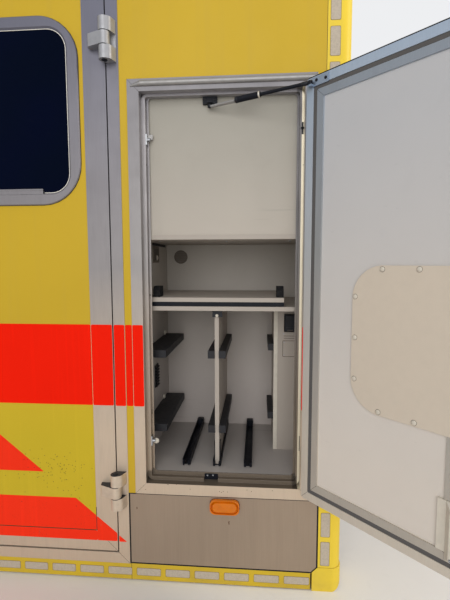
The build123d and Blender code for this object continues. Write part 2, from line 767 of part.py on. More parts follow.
swing = radians(locker_open_angle)
leaf = Plane(origin=(locker_pin_x, locker_pin_y, 0), x_dir=(cos(swing), sin(swing), 0), z_dir=(0, 0, 1))
shut_leaf = Span(rebate.left + free_edge_gap - locker_pin_x, rebate.right - door_gap - locker_pin_x,
                 rebate.bottom + door_gap, rebate.top - door_gap)
leaf_front_y = locker_pin_off_skin
rim_back_y = leaf_front_y + locker_leaf_thickness
panel_back_y = rim_back_y - leaf_recess


def leaf_facing(y):
    """The plane parallel to the locker door at one depth behind its pin."""
    return Plane(origin=leaf.from_local_coords((0, y, 0)), x_dir=leaf.x_dir, z_dir=-leaf.y_dir)


def leaf_plate(span, y, radius=0.0, mode=Mode.ADD):
    """A plate parallel to the locker door between two depths behind its pin."""
    with BuildSketch(leaf_facing(y[0])) as outline:
        rectangle(span, radius)
    extrude(outline.sketch, amount=y[0] - y[1], mode=mode)


def leaf_ring(outer, inner, y, outer_radius=0.0, inner_radius=0.0, mode=Mode.ADD):
    """A ring parallel to the locker door between two depths behind its pin."""
    with BuildSketch(leaf_facing(y[0])) as outline:
        rectangle(outer, outer_radius)
        rectangle(inner, inner_radius, Mode.SUBTRACT)
    extrude(outline.sketch, amount=y[0] - y[1], mode=mode)


groove_outer = grown(shut_leaf, -rim_width)
groove_inner = grown(groove_outer, -groove_width)
leaf_field = grown(groove_inner, -lip_width)._replace(left=groove_inner.left + lip_width_at_lock)
groove_radius = 3.0

with BuildPart(leaf) as locker_door_frame:
    leaf_ring(shut_leaf, leaf_field, (leaf_front_y, rim_back_y), locker_leaf_radius)
    leaf_ring(groove_outer, groove_inner, (rim_back_y - groove_depth, rim_back_y),
              groove_radius, groove_radius, Mode.SUBTRACT)
locker_door_frame.part.label = "locker_door_frame"

seal_gap = 1.0
seal_set_back = 1.0
with BuildPart(leaf) as locker_door_seal:
    leaf_ring(grown(groove_outer, -seal_gap), grown(groove_inner, seal_gap),
              (rim_back_y - groove_depth, rim_back_y - seal_set_back), groove_radius, groove_radius)
locker_door_seal.part.label = "locker_door_seal"

with BuildPart(leaf) as locker_door_panel:
    leaf_plate(leaf_field, (leaf_front_y, panel_back_y))
locker_door_panel.part.label = "locker_door_panel"

# Cover on the inside of the door, over the lock linkage: round towards the hinges, and lapped over the
# frame beside the lock
cover_from_hinge_side = 120.0
cover_height = 430.0
cover_radius = 95.0
cover_bottom = 350.0
cover_thickness = 5.0
cover_lap = 25.0
cover_span = Span(leaf_field.left, leaf_field.right - cover_from_hinge_side,
                  cabin.bottom + cover_bottom, cabin.bottom + cover_bottom + cover_height)
cover_y = (panel_back_y, panel_back_y + cover_thickness)
with BuildPart(leaf) as locker_cover_plate:
    leaf_plate(cover_span, cover_y, cover_radius)
    leaf_plate(cover_span._replace(right=cover_span.left + cover_radius), cover_y)
    leaf_plate(cover_span._replace(left=cover_span.left - cover_lap, right=cover_span.left),
               (rim_back_y, cover_y[1]))
locker_cover_plate.part.label = "locker_cover_plate"

# Lock gear inside the free edge: a bolt bar, its guides and the lock case, whose foot reaches over the panel
bar_from_free_edge = 32.0
bar_width = 20.0
bar_thickness = 5.0
bar_end_gap = 40.0
lock_case = (41.0, 160.0, 18.0)
lock_case_top = 184.0
lock_case_bevel = 14.0
lock_foot = (23.0, 3.0)
lug_gap = 24.0
lug_size = (34.0, 14.0, 15.0)
lug_overhang = 6.0
bar_left = shut_leaf.left + bar_from_free_edge
case_span = Span(bar_left, bar_left + lock_case[0],
                 cabin.bottom + lock_case_top - lock_case[1], cabin.bottom + lock_case_top)
foot_span = Span(leaf_field.left + seat_gap, case_span.right + lock_foot[0],
                 leaf_field.bottom + seat_gap, case_span.top)
with BuildPart(leaf) as locker_lock_gear:
    leaf_plate(case_span, (rim_back_y, rim_back_y + lock_case[2]))
    chamfer(locker_lock_gear.faces().sort_by(Axis(leaf.origin, leaf.y_dir))[-1].edges(), lock_case_bevel)
    leaf_plate(foot_span._replace(left=case_span.right), (rim_back_y, rim_back_y + lock_foot[1]))
    leaf_plate(foot_span, (panel_back_y, rim_back_y + lock_foot[1]))
    cuboid((bar_left, bar_left + bar_width), (rim_back_y, rim_back_y + bar_thickness),
           (shut_leaf.bottom + bar_end_gap, shut_leaf.top - bar_end_gap))
    for height in striker_heights:
        for side in (-1, 1):
            z = cabin.bottom + height + side * (lug_gap + lug_size[2]) / 2
            cuboid((bar_left - lug_overhang, bar_left - lug_overhang + lug_size[0]),
                   (rim_back_y, rim_back_y + lug_size[1]), (z - lug_size[2] / 2, z + lug_size[2] / 2))
locker_lock_gear.part.label = "locker_lock_gear"

# Paddle latch on the outside of the locker door: a dished plate and the paddle in its dish
paddle_plate = (96.0, 132.0, 7.0)
paddle_dish = (76.0, 84.0, 5.0)
paddle_size = (62.0, 66.0, 9.0)
paddle_from_edge = 20.0
paddle_middle = 470.0
paddle_radius = 14.0
paddle_left = shut_leaf.left + paddle_from_edge
paddle_face_y = leaf_front_y - paddle_plate[2]


def paddle_span(size):
    """A rectangle of one size about the middle of the latch."""
    middle = paddle_left + paddle_plate[0] / 2
    height = cabin.bottom + paddle_middle
    return Span(middle - size[0] / 2, middle + size[0] / 2, height - size[1] / 2, height + size[1] / 2)


with BuildPart(leaf) as locker_door_handle:
    leaf_plate(paddle_span(paddle_plate), (paddle_face_y, leaf_front_y), paddle_radius)
    leaf_plate(paddle_span(paddle_dish), (paddle_face_y, paddle_face_y + paddle_dish[2]), paddle_radius / 2,
               Mode.SUBTRACT)
    leaf_plate(paddle_span(paddle_size), (leaf_front_y - paddle_size[2], leaf_front_y), paddle_radius / 2)
locker_door_handle.part.label = "locker_door_handle"

# Locker hinges: small drop shaped hinges with the pin outside the joint
small_knuckle_radius = 8.0
small_knuckle_height = 30.0
small_pin_radius = 4.0
small_foot_thickness = 3.0
frame_foot_reach = 24.0
door_foot_reach = 58.0
locker_hinge_heights = (1270.0, 690.0, 90.0)

with BuildPart() as frame_hinges:
    foot_y = (flange_y - locker_pin_y - small_foot_thickness, flange_y - locker_pin_y)
    for height in locker_hinge_heights:
        middle = cabin.bottom + height
        for z in (middle - 1.5 * small_knuckle_height, middle + 0.5 * small_knuckle_height):
            hinge_half(Plane(origin=(locker_pin_x, locker_pin_y, z)), small_knuckle_radius,
                       (0, frame_foot_reach), foot_y, small_knuckle_height)
        knuckle(locker_pin_x, locker_pin_y, middle - 1.5 * small_knuckle_height, small_pin_radius,
                3 * small_knuckle_height)
frame_hinges.part.label = "frame_hinges"

with BuildPart() as locker_door_hinges:
    foot_x = (-door_foot_reach, shut_leaf.right - foot_from_edge)
    foot_y = (leaf_front_y - small_foot_thickness, leaf_front_y)
    height = small_knuckle_height - 2 * knuckle_gap
    for hinge_height in locker_hinge_heights:
        middle = cabin.bottom + hinge_height
        hinge_half(leaf.offset(middle - height / 2), small_knuckle_radius, foot_x, foot_y, height)
        with Locations((locker_pin_x, locker_pin_y, middle)):
            Cylinder(small_pin_radius + running_gap, height, mode=Mode.SUBTRACT)
locker_door_hinges.part.label = "locker_door_hinges"

# Gas strut, rising to the door: a stud under the bracket on the frame, and one on the door bracket's arm
stud_radius = 4.0
socket_radius = 7.0
socket_height = 10.0
frame_stud_from_rebate = 240.0
frame_stud_depth = 36.0
frame_stud_x = rebate.left + frame_stud_from_rebate
frame_stud_y = skin_y + frame_stud_depth
door_stud_from_edge = 24.0
door_stud_off_rim = 12.0
strut_drop = 43.0
strut_rise = 19.0
frame_eye = Vector(frame_stud_x, frame_stud_y, rebate.top - strut_drop)
door_stud = Vector(shut_leaf.right - door_stud_from_edge, rim_back_y + door_stud_off_rim,
                   frame_eye.Z + strut_rise)
door_eye = leaf.from_local_coords(door_stud)
shut_door_eye = Vector(locker_pin_x + door_stud.X, locker_pin_y + door_stud.Y, door_stud.Z)
stroke = (frame_eye - door_eye).length - (frame_eye - shut_door_eye).length
strut_axis = (frame_eye - door_eye).normalized()
strut_length = (frame_eye - door_eye).length

# Frame bracket: a plate under the head of the opening, an arm towards the door and the stud below it
frame_plate = (50.0, 24.0)
frame_plate_proud = 4.0
frame_arm = (18.0, 5.0)
stud_collar = 8.0
open_eye_gap = 3.5
frame_plate_z = (clear.top - seat_gap - frame_plate[1], clear.top - seat_gap)
frame_stud_z = frame_eye.Z + socket_height / 2 + open_eye_gap
with BuildPart() as strut_frame_bracket:
    cuboid((frame_stud_x - frame_plate[0] / 2, frame_stud_x + frame_plate[0] / 2),
           (land_front - frame_plate_proud, cover_front), frame_plate_z)
    cuboid((frame_stud_x - frame_arm[0] / 2, frame_stud_x + frame_arm[0] / 2),
           (frame_stud_y - stud_collar, land_front - frame_plate_proud),
           (frame_plate_z[0], frame_plate_z[0] + frame_arm[1]))
    knuckle(frame_stud_x, frame_stud_y, frame_stud_z, stud_radius, frame_plate_z[0] - frame_stud_z)
strut_frame_bracket.part.label = "strut_frame_bracket"

# Door bracket: a plate on the rim, an arm under the cylinder's eye and the stud through it
door_plate = (69.0, 3.0)
door_plate_from_edge = 16.0
door_plate_from_top = 4.0
door_arm = (14.0, 6.0)
door_eye_bottom = door_stud.Z - socket_height / 2
door_arm_z = (door_eye_bottom - seat_gap - door_arm[1], door_eye_bottom - seat_gap)
door_plate_right = shut_leaf.right - door_plate_from_edge
with BuildPart(leaf) as strut_door_bracket:
    cuboid((door_plate_right - door_plate[0], door_plate_right), (rim_back_y, rim_back_y + door_plate[1]),
           (door_arm_z[0], shut_leaf.top - door_plate_from_top))
    cuboid((door_stud.X - door_arm[0] / 2, door_stud.X + door_arm[0] / 2),
           (rim_back_y + door_plate[1], door_stud.Y + stud_radius), door_arm_z)
    with Locations((door_stud.X, door_stud.Y, (door_arm_z[0] + door_stud.Z + socket_height / 2) / 2)):
        Cylinder(stud_radius, door_stud.Z + socket_height / 2 - door_arm_z[0])
strut_door_bracket.part.label = "strut_door_bracket"

cylinder_radius = 5.5
cylinder_length = 165.0
sleeve_radius = 10.0
sleeve_wall = 1.5
sleeve_length = 88.0
rod_radius = 3.5
rod_gap = 0.5
rod_grip = 10.0
rod_end_gap = 5.0
shroud_radius = 7.5
shroud_wall = 1.3
shroud_length = 94.0
neck = 5.0
sleeve_end = cylinder_length + sleeve_length


def along_strut(distance):
    """The plane square to the strut at one distance from the door's eye, with its Y axis up."""
    return Plane(origin=door_eye + strut_axis * distance, x_dir=Vector(0, 0, 1).cross(strut_axis),
                 z_dir=strut_axis)


def strut_tube(start, end, outer, inner=0.0, mode=Mode.ADD):
    """A round length of the strut between two distances from the door's eye, hollow where a bore is given."""
    with BuildSketch(along_strut(start)) as outline:
        Circle(outer)
        if inner:
            Circle(inner, mode=Mode.SUBTRACT)
    extrude(outline.sketch, amount=end - start, mode=mode)


with BuildPart() as strut_cylinder:
    strut_tube(neck, cylinder_length, cylinder_radius)
    strut_tube(cylinder_length, cylinder_length + sleeve_wall, sleeve_radius)
    strut_tube(cylinder_length + sleeve_wall, sleeve_end, sleeve_radius, sleeve_radius - sleeve_wall)
    strut_tube(cylinder_length - rod_grip - stroke - rod_end_gap, sleeve_end, rod_radius + rod_gap,
               mode=Mode.SUBTRACT)
    knuckle(door_eye.X, door_eye.Y, door_eye.Z - socket_height / 2, socket_radius, socket_height)
    with Locations((door_eye.X, door_eye.Y, door_eye.Z)):
        Cylinder(stud_radius + running_gap, socket_height, mode=Mode.SUBTRACT)
strut_cylinder.part.label = "strut_cylinder"

# Rod with its eye, and the half round shroud under it that slides into the sleeve
with BuildPart() as strut_rod:
    strut_tube(cylinder_length - rod_grip, strut_length - neck, rod_radius)
    with BuildSketch(along_strut(strut_length - shroud_length)):
        Circle(shroud_radius)
        Circle(shroud_radius - shroud_wall, mode=Mode.SUBTRACT)
        Rectangle(2 * shroud_radius, shroud_radius, align=(Align.CENTER, Align.MIN), mode=Mode.SUBTRACT)
    extrude(amount=shroud_length - neck)
    knuckle(frame_eye.X, frame_eye.Y, frame_eye.Z - socket_height / 2, socket_radius, socket_height)
strut_rod.part.label = "strut_rod"

pieces = (
    side_wall, bottom_rail, lower_corner, front_corner_post, upper_corner, top_rail, rear_joint_profile,
    entry_jamb, locker_frame, drip_rail, skirt_panel, side_marker_lamp, locker_side_walls, locker_floor,
    locker_roof, locker_back, vent, upper_cover, locker_shelves, tray, tray_slides, tray_clamps,
    floor_channels, divider, side_guides, service_box, control_unit, striker_pins, strike_plate, jamb_hinges,
    frame_hinges, strut_frame_bracket, entry_door_frame, entry_door_panel, entry_window_frame,
    entry_window_glass, entry_door_hinges, entry_door_handle, locker_door_frame, locker_door_seal,
    locker_door_panel, locker_cover_plate, locker_lock_gear, locker_door_handle, locker_door_hinges,
    strut_door_bracket, strut_cylinder, strut_rod,
)

os.makedirs("parts", exist_ok=True)
for piece in pieces:
    export_step(piece.part, f"parts/{piece.part.label}.step")
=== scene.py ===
"""Looks of the side wall section of an ambulance box body: materials, foils, seals, fittings, light, camera.

Metres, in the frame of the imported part: X towards the front of the vehicle, Y into it, Z up. Rows of small
like things are in millimetres.
"""

import json
from collections import namedtuple
from math import cos, pi, radians, sin
from random import Random

import bmesh
import bpy
from mathutils import Matrix, Vector


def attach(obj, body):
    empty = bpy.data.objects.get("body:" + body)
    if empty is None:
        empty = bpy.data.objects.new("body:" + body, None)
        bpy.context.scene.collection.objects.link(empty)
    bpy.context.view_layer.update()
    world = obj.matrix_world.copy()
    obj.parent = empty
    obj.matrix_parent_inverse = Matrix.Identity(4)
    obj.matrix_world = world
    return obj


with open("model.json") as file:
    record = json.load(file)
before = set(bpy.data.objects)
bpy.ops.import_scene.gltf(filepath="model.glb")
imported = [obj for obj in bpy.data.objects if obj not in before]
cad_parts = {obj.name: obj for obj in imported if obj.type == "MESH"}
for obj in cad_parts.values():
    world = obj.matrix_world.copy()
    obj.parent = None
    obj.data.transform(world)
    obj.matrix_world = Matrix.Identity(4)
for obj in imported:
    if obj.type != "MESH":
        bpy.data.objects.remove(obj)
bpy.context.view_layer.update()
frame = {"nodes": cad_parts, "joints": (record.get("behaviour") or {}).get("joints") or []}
nodes = frame["nodes"]

Span = namedtuple("Span", "left right bottom top")
WALL = Matrix.Identity(4)
FORWARD, INWARD, OUTWARD, UP, DOWN = (1, 0, 0), (0, 1, 0), (0, -1, 0), (0, 0, 1), (0, 0, -1)

# An edge stays sharp past the one angle, and is bevelled past the other on a piece that has a bevel
sharp_angle = radians(40)
bevel_angle = radians(35)

# The locker door's own frame: its pin at the origin, X and Y as the wall's are when the door is shut
hinge = next(row for row in frame["joints"] if row["name"] == "locker_door_hinge")
pin = Vector((*hinge["pos_m"][:2], 0))
LEAF = Matrix.Translation(pin) @ Matrix.Rotation(radians(-hinge["range_deg"][0]), 4, "Z")


def corners_in(node, place):
    """Lowest and highest corner of a node in the coordinates of one frame."""
    back = place.inverted()
    points = [back @ vertex.co for vertex in nodes[node].data.vertices]
    low = Vector([min(point[axis] for point in points) for axis in range(3)])
    high = Vector([max(point[axis] for point in points) for axis in range(3)])
    return low, high


def span_of(node, place=WALL):
    """The rectangle that a node covers, seen square to the wall or to the locker door."""
    low, high = corners_in(node, place)
    return Span(low.x, high.x, low.z, high.z)


def face_of(node, place=WALL):
    """The depth of a node's outermost face."""
    return corners_in(node, place)[0].y


def back_of(node, place=WALL):
    """The depth of a node's innermost face."""
    return corners_in(node, place)[1].y


def grown(span, by):
    """The same rectangle with every side moved out by one distance."""
    return Span(span.left - by, span.right + by, span.bottom - by, span.top + by)


# Materials

EVEN = (1, 1, 1)
PROFILE_GRAIN = (1, 1, 0.02)
BRUSHING = (1, 1, 0.015)
TAR = (0.05, 0.04, 0.03)


def feed(socket, value):
    """Links or sets one socket."""
    if isinstance(value, bpy.types.NodeSocket):
        socket.id_data.links.new(value, socket)
    else:
        socket.default_value = value


def new_node(tree, kind, feeds, **settings):
    """A new node with its settings, and with its sockets fed by name or number."""
    made = tree.nodes.new(kind)
    for key, value in settings.items():
        setattr(made, key, value)
    for socket, value in feeds.items():
        feed(made.inputs[socket], value)
    return made


class Surface:
    """A material whose colour, roughness and relief are built up from noise in the part's coordinates."""

    def __init__(self, name, colour, roughness, specular, **sockets):
        self.material = bpy.data.materials.new(name)
        self.material.use_nodes = True
        self.tree = self.material.node_tree
        self.shader = self.tree.nodes["Principled BSDF"]
        self.shader.inputs["Base Color"].default_value = (*colour, 1)
        self.shader.inputs["Roughness"].default_value = roughness
        self.shader.inputs["Specular IOR Level"].default_value = specular
        for socket, value in sockets.items():
            self.shader.inputs[socket.replace("_", " ").title()].default_value = value
        self.place = self.tree.nodes.new("ShaderNodeTexCoord").outputs["Object"]
        self.colour = (*colour, 1)
        self.roughness = roughness
        self.relief = None

    def node(self, kind, feeds, **settings):
        """A new node of this material."""
        return new_node(self.tree, kind, feeds, **settings)

    def stretched(self, stretch):
        """The place on the part with its axes scaled, for grain and streaks."""
        return self.node("ShaderNodeMapping", {"Vector": self.place, "Scale": stretch}).outputs["Vector"]

    def noise(self, scale, detail=3.0, stretch=EVEN, distortion=0.0):
        """Soft noise from 0 to 1, with features about 1/scale metres across."""
        place = self.stretched(stretch)
        feeds = {"Vector": place, "Scale": scale, "Detail": detail, "Distortion": distortion}
        return self.node("ShaderNodeTexNoise", feeds).outputs["Fac"]

    def cells(self, scale, stretch=EVEN, feature="F1"):
        """Distance to scattered points, with cells about 1/scale metres across."""
        feeds = {"Vector": self.stretched(stretch), "Scale": scale}
        return self.node("ShaderNodeTexVoronoi", feeds, feature=feature).outputs["Distance"]

    def ramp(self, value, low, high):
        """A value rescaled from 0 at low to 1 at high, and held there."""
        feeds = {"Value": value, "From Min": low, "From Max": high}
        return self.node("ShaderNodeMapRange", feeds, clamp=True).outputs["Result"]

    def patches(self, scale, low, high, detail=3.0, stretch=EVEN, distortion=0.0):
        """A mask of soft patches: 0 where the noise is under low, 1 where it is over high."""
        return self.ramp(self.noise(scale, detail, stretch, distortion), low, high)

    def along(self, axis, low, high):
        """A mask that is 0 at one place along an axis of the part and 1 at another."""
        split = self.node("ShaderNodeSeparateXYZ", {0: self.place})
        return self.ramp(split.outputs[axis], low, high)

    def upward(self):
        """A mask that is 1 where the surface looks up, where dirt lies."""
        flat = self.node("ShaderNodeNewGeometry", {}).outputs["Normal"]
        split = self.node("ShaderNodeSeparateXYZ", {0: flat})
        return self.ramp(split.outputs["Z"], 0.6, 0.9)

    def times(self, first, second):
        """Two masks or levels multiplied."""
        return self.node("ShaderNodeMath", {0: first, 1: second}, operation="MULTIPLY").outputs[0]

    def mixed(self, kind, mask, before, after, blend="MIX"):
        """A value or colour changed towards another where the mask is 1."""
        feeds = {"Factor": mask, "A": before, "B": after}
        return self.node("ShaderNodeMix", feeds, data_type=kind, blend_type=blend).outputs["Result"]

    def tint(self, mask, colour, blend="MIX"):
        """The colour so far, changed towards another where the mask is 1."""
        self.colour = self.mixed("RGBA", mask, self.colour, (*colour, 1), blend)
        feed(self.shader.inputs["Base Color"], self.colour)

    def shade(self, mask, level):
        """The colour so far, made darker or lighter by one factor where the mask is 1."""
        self.tint(mask, (level, level, level), "MULTIPLY")

    def fade(self, colour, low, high):
        """The colour so far, changed towards another from one height to a second."""
        self.tint(self.along("Z", low, high), colour)

    def specks(self, scale, size, share, amount, colour=TAR, stretch=EVEN):
        """Small marks in clusters over one share of the surface, as strong as a level or a mask says."""
        near = self.ramp(self.cells(scale, stretch), size, size * 0.6)
        where = self.patches(scale * 0.13, 1 - share, 1 - share + 0.05, 2.0)
        self.tint(self.times(self.times(near, where), amount), colour)

    def rougher(self, mask, roughness):
        """The roughness so far, changed towards another where the mask is 1."""
        self.roughness = self.mixed("FLOAT", mask, self.roughness, roughness)
        feed(self.shader.inputs["Roughness"], self.roughness)

    def facing(self, relief):
        """The shader's normal, taken from the relief so far."""
        self.relief = relief
        feed(self.shader.inputs["Normal"], relief)

    def bevelled(self, radius):
        """The normal that the surface would have with a small round on every edge."""
        return self.node("ShaderNodeBevel", {"Radius": radius}, samples=4).outputs["Normal"]

    def round_edges(self, radius):
        """Edges that catch the light as though each had a small round."""
        self.facing(self.bevelled(radius))

    def edges(self, radius, colour, amount):
        """Edges of another colour: a painted highlight along every edge."""
        feeds = {0: self.bevelled(radius), 1: self.node("ShaderNodeNewGeometry", {}).outputs["Normal"]}
        flatness = self.node("ShaderNodeVectorMath", feeds, operation="DOT_PRODUCT").outputs["Value"]
        self.tint(self.times(self.ramp(flatness, 0.98, 0.75), amount), colour)

    def bump(self, height, depth):
        """Relief of one depth in metres, added to what is there."""
        made = self.node("ShaderNodeBump", {"Distance": depth, "Height": height})
        if self.relief is not None:
            feed(made.inputs["Normal"], self.relief)
        self.facing(made.outputs["Normal"])
        return self


def paler(colour, factor, lift=0.0):
    """A colour made brighter, up to white."""
    return tuple(min(1.0, value * factor + lift) for value in colour)


def painted(name, colour, dirt_height=0.45):
    """Body paint: slight cloudiness, orange peel, run-down streaks and road dirt low down."""
    made = Surface(name, colour, 0.38, 0.12, coat_weight=0.03, coat_roughness=0.2)
    made.round_edges(0.001)
    made.shade(made.patches(2.2, 0.3, 0.75), 0.93)
    streaks = made.patches(26, 0.52, 0.8, 2, (1, 1, 0.04))
    made.tint(made.times(streaks, 0.08), (0.32, 0.25, 0.12))
    low = made.along("Z", dirt_height, 0.0)
    grime = made.times(low, made.patches(9, 0.42, 0.85, 5))
    made.tint(made.times(grime, 0.35), (0.22, 0.17, 0.1))
    made.specks(150, 0.16, 0.42, made.times(low, 0.75))
    made.rougher(made.patches(14, 0.35, 0.8, 4), 0.5)
    return made.bump(made.noise(420, 2), 0.00005)


def film(name, colour, low_colour):
    """Retroreflective foil: fine cells under a smooth face, faint upright streaks, scuffs and dirt."""
    made = Surface(name, colour, 0.45, 0.05)
    made.fade(low_colour, 0.66, 0.5)
    made.shade(made.patches(3, 0.35, 0.8), 0.95)
    streaks = made.patches(60, 0.55, 0.75, 1.5, (1, 1, 0.03))
    made.shade(made.times(streaks, 0.6), 1.08)
    cell_walls = made.ramp(made.cells(380, feature="DISTANCE_TO_EDGE"), 0.06, 0.0)
    made.shade(made.times(cell_walls, 0.25), 0.75)
    low = made.along("Z", 0.45, 0.05)
    made.specks(120, 0.14, 0.5, made.times(low, 0.8))
    scuffs = made.patches(30, 0.68, 0.74, 3, (1, 1, 0.25), 1.5)
    made.tint(made.times(scuffs, made.times(low, 0.3)), (0.2, 0.16, 0.08))
    made.rougher(made.patches(17, 0.4, 0.8, 4), 0.58)
    return made.bump(made.noise(240, 2), 0.00004)


def reflective(name, colour):
    """Pale reflective dash: mottled where grit and water have dulled it, with fine cells."""
    made = Surface(name, colour, 0.4, 0.2)
    made.shade(made.patches(160, 0.42, 0.62, 5), 0.9)
    made.shade(made.patches(480, 0.5, 0.7), 0.92)
    made.specks(190, 0.2, 0.5, 0.5, (0.12, 0.1, 0.08))
    made.rougher(made.patches(60, 0.4, 0.8, 4), 0.6)
    return made.bump(made.cells(700), 0.00005)


def return_light(made):
    """Painted light and shade on a frame's inner return, behind its flange, place by place: lighter high up,
    darker low down and darker still at its sill, darker on its hinge side, and a painted strip of sunlight
    on that side's rebate wall.
    """
    sunlit = (0.8, 0.73, 0.58)
    behind = made.along("Y", -0.0525, -0.05)
    # Axis, where each painted change of light starts, where it is full, and how bright the colour is there
    changes = (("Z", 0.9, 1.6, 1.5), ("Z", 1, 0.6, 0.7), ("Z", 0.392, 0.386, 0.42), ("X", 0.672, 0.676, 0.5))
    for axis, start, full, level in changes:
        made.shade(made.times(behind, made.along(axis, start, full)), level)
    made.tint(made.times(behind, made.along("X", 0.6915, 0.6925)), sunlit)


def anodised(name, low, middle, high, inside=None):
    """Satin profile: warm and pale low down and cool higher up, a painted reflection of the floor and the
    sky, with paler edges as a painted highlight and, where given, its own painted light and shade inside.
    """
    made = Surface(name, low, 0.42, 0.3, metallic=0.5)
    made.round_edges(0.0008)
    # Painted reflection: the warm low colour gives way to the middle and high colours going up, as the floor
    # gives way to the sky
    made.fade(middle, 0.55, 1.15)
    made.fade(high, 1.1, 2)
    if inside:
        inside(made)
    made.shade(made.patches(700, 0.3, 0.7, 2, PROFILE_GRAIN), 0.93)
    made.shade(made.patches(4, 0.4, 0.8), 0.95)
    made.shade(made.patches(38, 0.55, 0.8, 5, (1, 1, 0.15)), 0.92)
    made.specks(140, 0.13, 0.4, made.times(made.along("Z", 0.75, 0.0), 0.7), (0.06, 0.05, 0.04))
    made.edges(0.0012, paler(middle, 1.5), 0.5)
    made.rougher(made.patches(11, 0.4, 0.8, 4), 0.54)
    return made.bump(made.noise(900, 2, PROFILE_GRAIN), 0.00002)


def brushed_sheet(name, colour):
    """Bare aluminium sheet: upright brush marks, watery streaks and a few dark nicks."""
    made = Surface(name, colour, 0.46, 0.25, metallic=0.5)
    made.shade(made.patches(600, 0.3, 0.72, 3, BRUSHING), 0.92)
    made.shade(made.patches(20, 0.45, 0.8, 3, (1, 1, 0.06)), 0.93)
    made.shade(made.patches(2.5, 0.4, 0.8, 2), 1.07)
    made.specks(75, 0.09, 0.3, 1, TAR, (1, 1, 0.5))
    made.rougher(made.patches(16, 0.4, 0.8, 4, (1, 1, 0.2)), 0.58)
    return made.bump(made.noise(800, 3, BRUSHING), 0.00003)


def satin_metal(name, colour, roughness, low=None, dirt=0.7):
    """Turned or cast hardware: faint marks, bright edges as a painted highlight, grime in patches and on
    top, low down.
    """
    made = Surface(name, colour, roughness, 0.35, metallic=0.6)
    made.round_edges(0.0007)
    # Where a low colour is given, the metal turns paler and warmer towards the bottom: a painted reflection
    # of the floor
    made.fade(low or colour, 1.2, 0.5)
    made.shade(made.patches(45, 0.4, 0.8, 4), 0.86)
    made.specks(160, 0.14, 0.35, dirt, (0.08, 0.07, 0.06))
    made.edges(0.0008, paler(colour, 1.3), 0.6)
    made.tint(made.times(made.upward(), made.along("Z", 0.8, 0.5)), (0.035, 0.035, 0.04))
    made.rougher(made.patches(60, 0.4, 0.8, 4), roughness + 0.15)
    return made.bump(made.noise(500), 0.00002)


def board(name, colour, high=None, fade_heights=(0.7, 1.6), wear=1):
    """Laminated board: fine pebbled face, rubbed patches and faint scratches."""
    made = Surface(name, colour, 0.46, 0.25)
    made.round_edges(0.001)
    # On the locker door's board this fade is painted light: warm from the floor low down, cool from the sky
    # higher up
    made.fade(high or colour, *fade_heights)
    made.shade(made.patches(3.5, 0.4, 0.8, 4), 0.96)
    rubbed = made.patches(10, 0.58, 0.85, 5, EVEN, 1)
    made.shade(made.times(rubbed, 0.3 * wear), 0.82)
    scratches = made.patches(55, 0.7, 0.74, 2, (0.05, 0.6, 1))
    made.shade(made.times(scratches, 0.25 * wear), 0.7)
    made.specks(110, 0.07, 0.3, 0.5 * wear, (0.1, 0.08, 0.06))
    made.rougher(made.patches(12, 0.4, 0.8, 4), 0.58)
    return made.bump(made.noise(650, 2), 0.00005)


def moulded(name, colour, roughness=0.5, grain=900, cloud=0.88):
    """Moulded plastic: fine grain, faint cloudiness and paler edges, a painted highlight."""
    made = Surface(name, colour, roughness, 0.3)
    made.round_edges(0.0007)
    made.shade(made.patches(40, 0.4, 0.8), cloud)
    made.edges(0.0008, paler(colour, 1.3, 0.01), 0.4)
    made.rougher(made.patches(70, 0.4, 0.8), roughness + 0.12)
    return made.bump(made.noise(grain, 2), 0.00006)


def rubber(name, colour):
    """Soft seal rubber: dull, dusty in patches and slightly uneven."""
    made = Surface(name, colour, 0.75, 0.2)
    made.tint(made.times(made.patches(90, 0.5, 0.85, 5), 0.2), (0.12, 0.11, 0.1))
    made.rougher(made.patches(40, 0.4, 0.8), 0.88)
    return made.bump(made.noise(600), 0.00008)


def black_coat(name, colour):
    """Powder coated metal: black, finely rough, grey at the edges as a painted highlight."""
    made = Surface(name, colour, 0.42, 0.15)
    made.round_edges(0.0007)
    made.shade(made.patches(50, 0.5, 0.9, 4), 1.5)
    made.edges(0.001, (0.1, 0.1, 0.11), 0.35)
    made.rougher(made.patches(30, 0.4, 0.8), 0.58)
    return made.bump(made.noise(1000, 2), 0.00005)


def tinted_glass(name, colour, cloud):
    """Dark privacy glass: near black, faintly cloudy with wiping marks and a dusty film."""
    made = Surface(name, colour, 0.04, 0.02)
    made.tint(made.patches(2.5, 0.35, 0.7, 2), cloud)
    made.tint(made.times(made.patches(70, 0.62, 0.9, 5), 0.012), (0.25, 0.24, 0.22))
    made.rougher(made.patches(8, 0.45, 0.85, 3, (1, 1, 0.3)), 0.12)
    return made.bump(made.noise(3, 1), 0.0002)


def lens(name, colour):
    """Orange lamp lens: prisms behind a smooth face, deeper colour in patches."""
    made = Surface(name, colour, 0.22, 0.4, subsurface_weight=0.1)
    feeds = {"Vector": made.place, "Scale": 95}
    prisms = made.node("ShaderNodeTexWave", feeds, wave_type="BANDS", bands_direction="X").outputs["Fac"]
    made.shade(made.ramp(prisms, 0.2, 0.9), 0.74)
    made.shade(made.patches(30, 0.4, 0.8), 0.84)
    return made.bump(prisms, 0.0003)
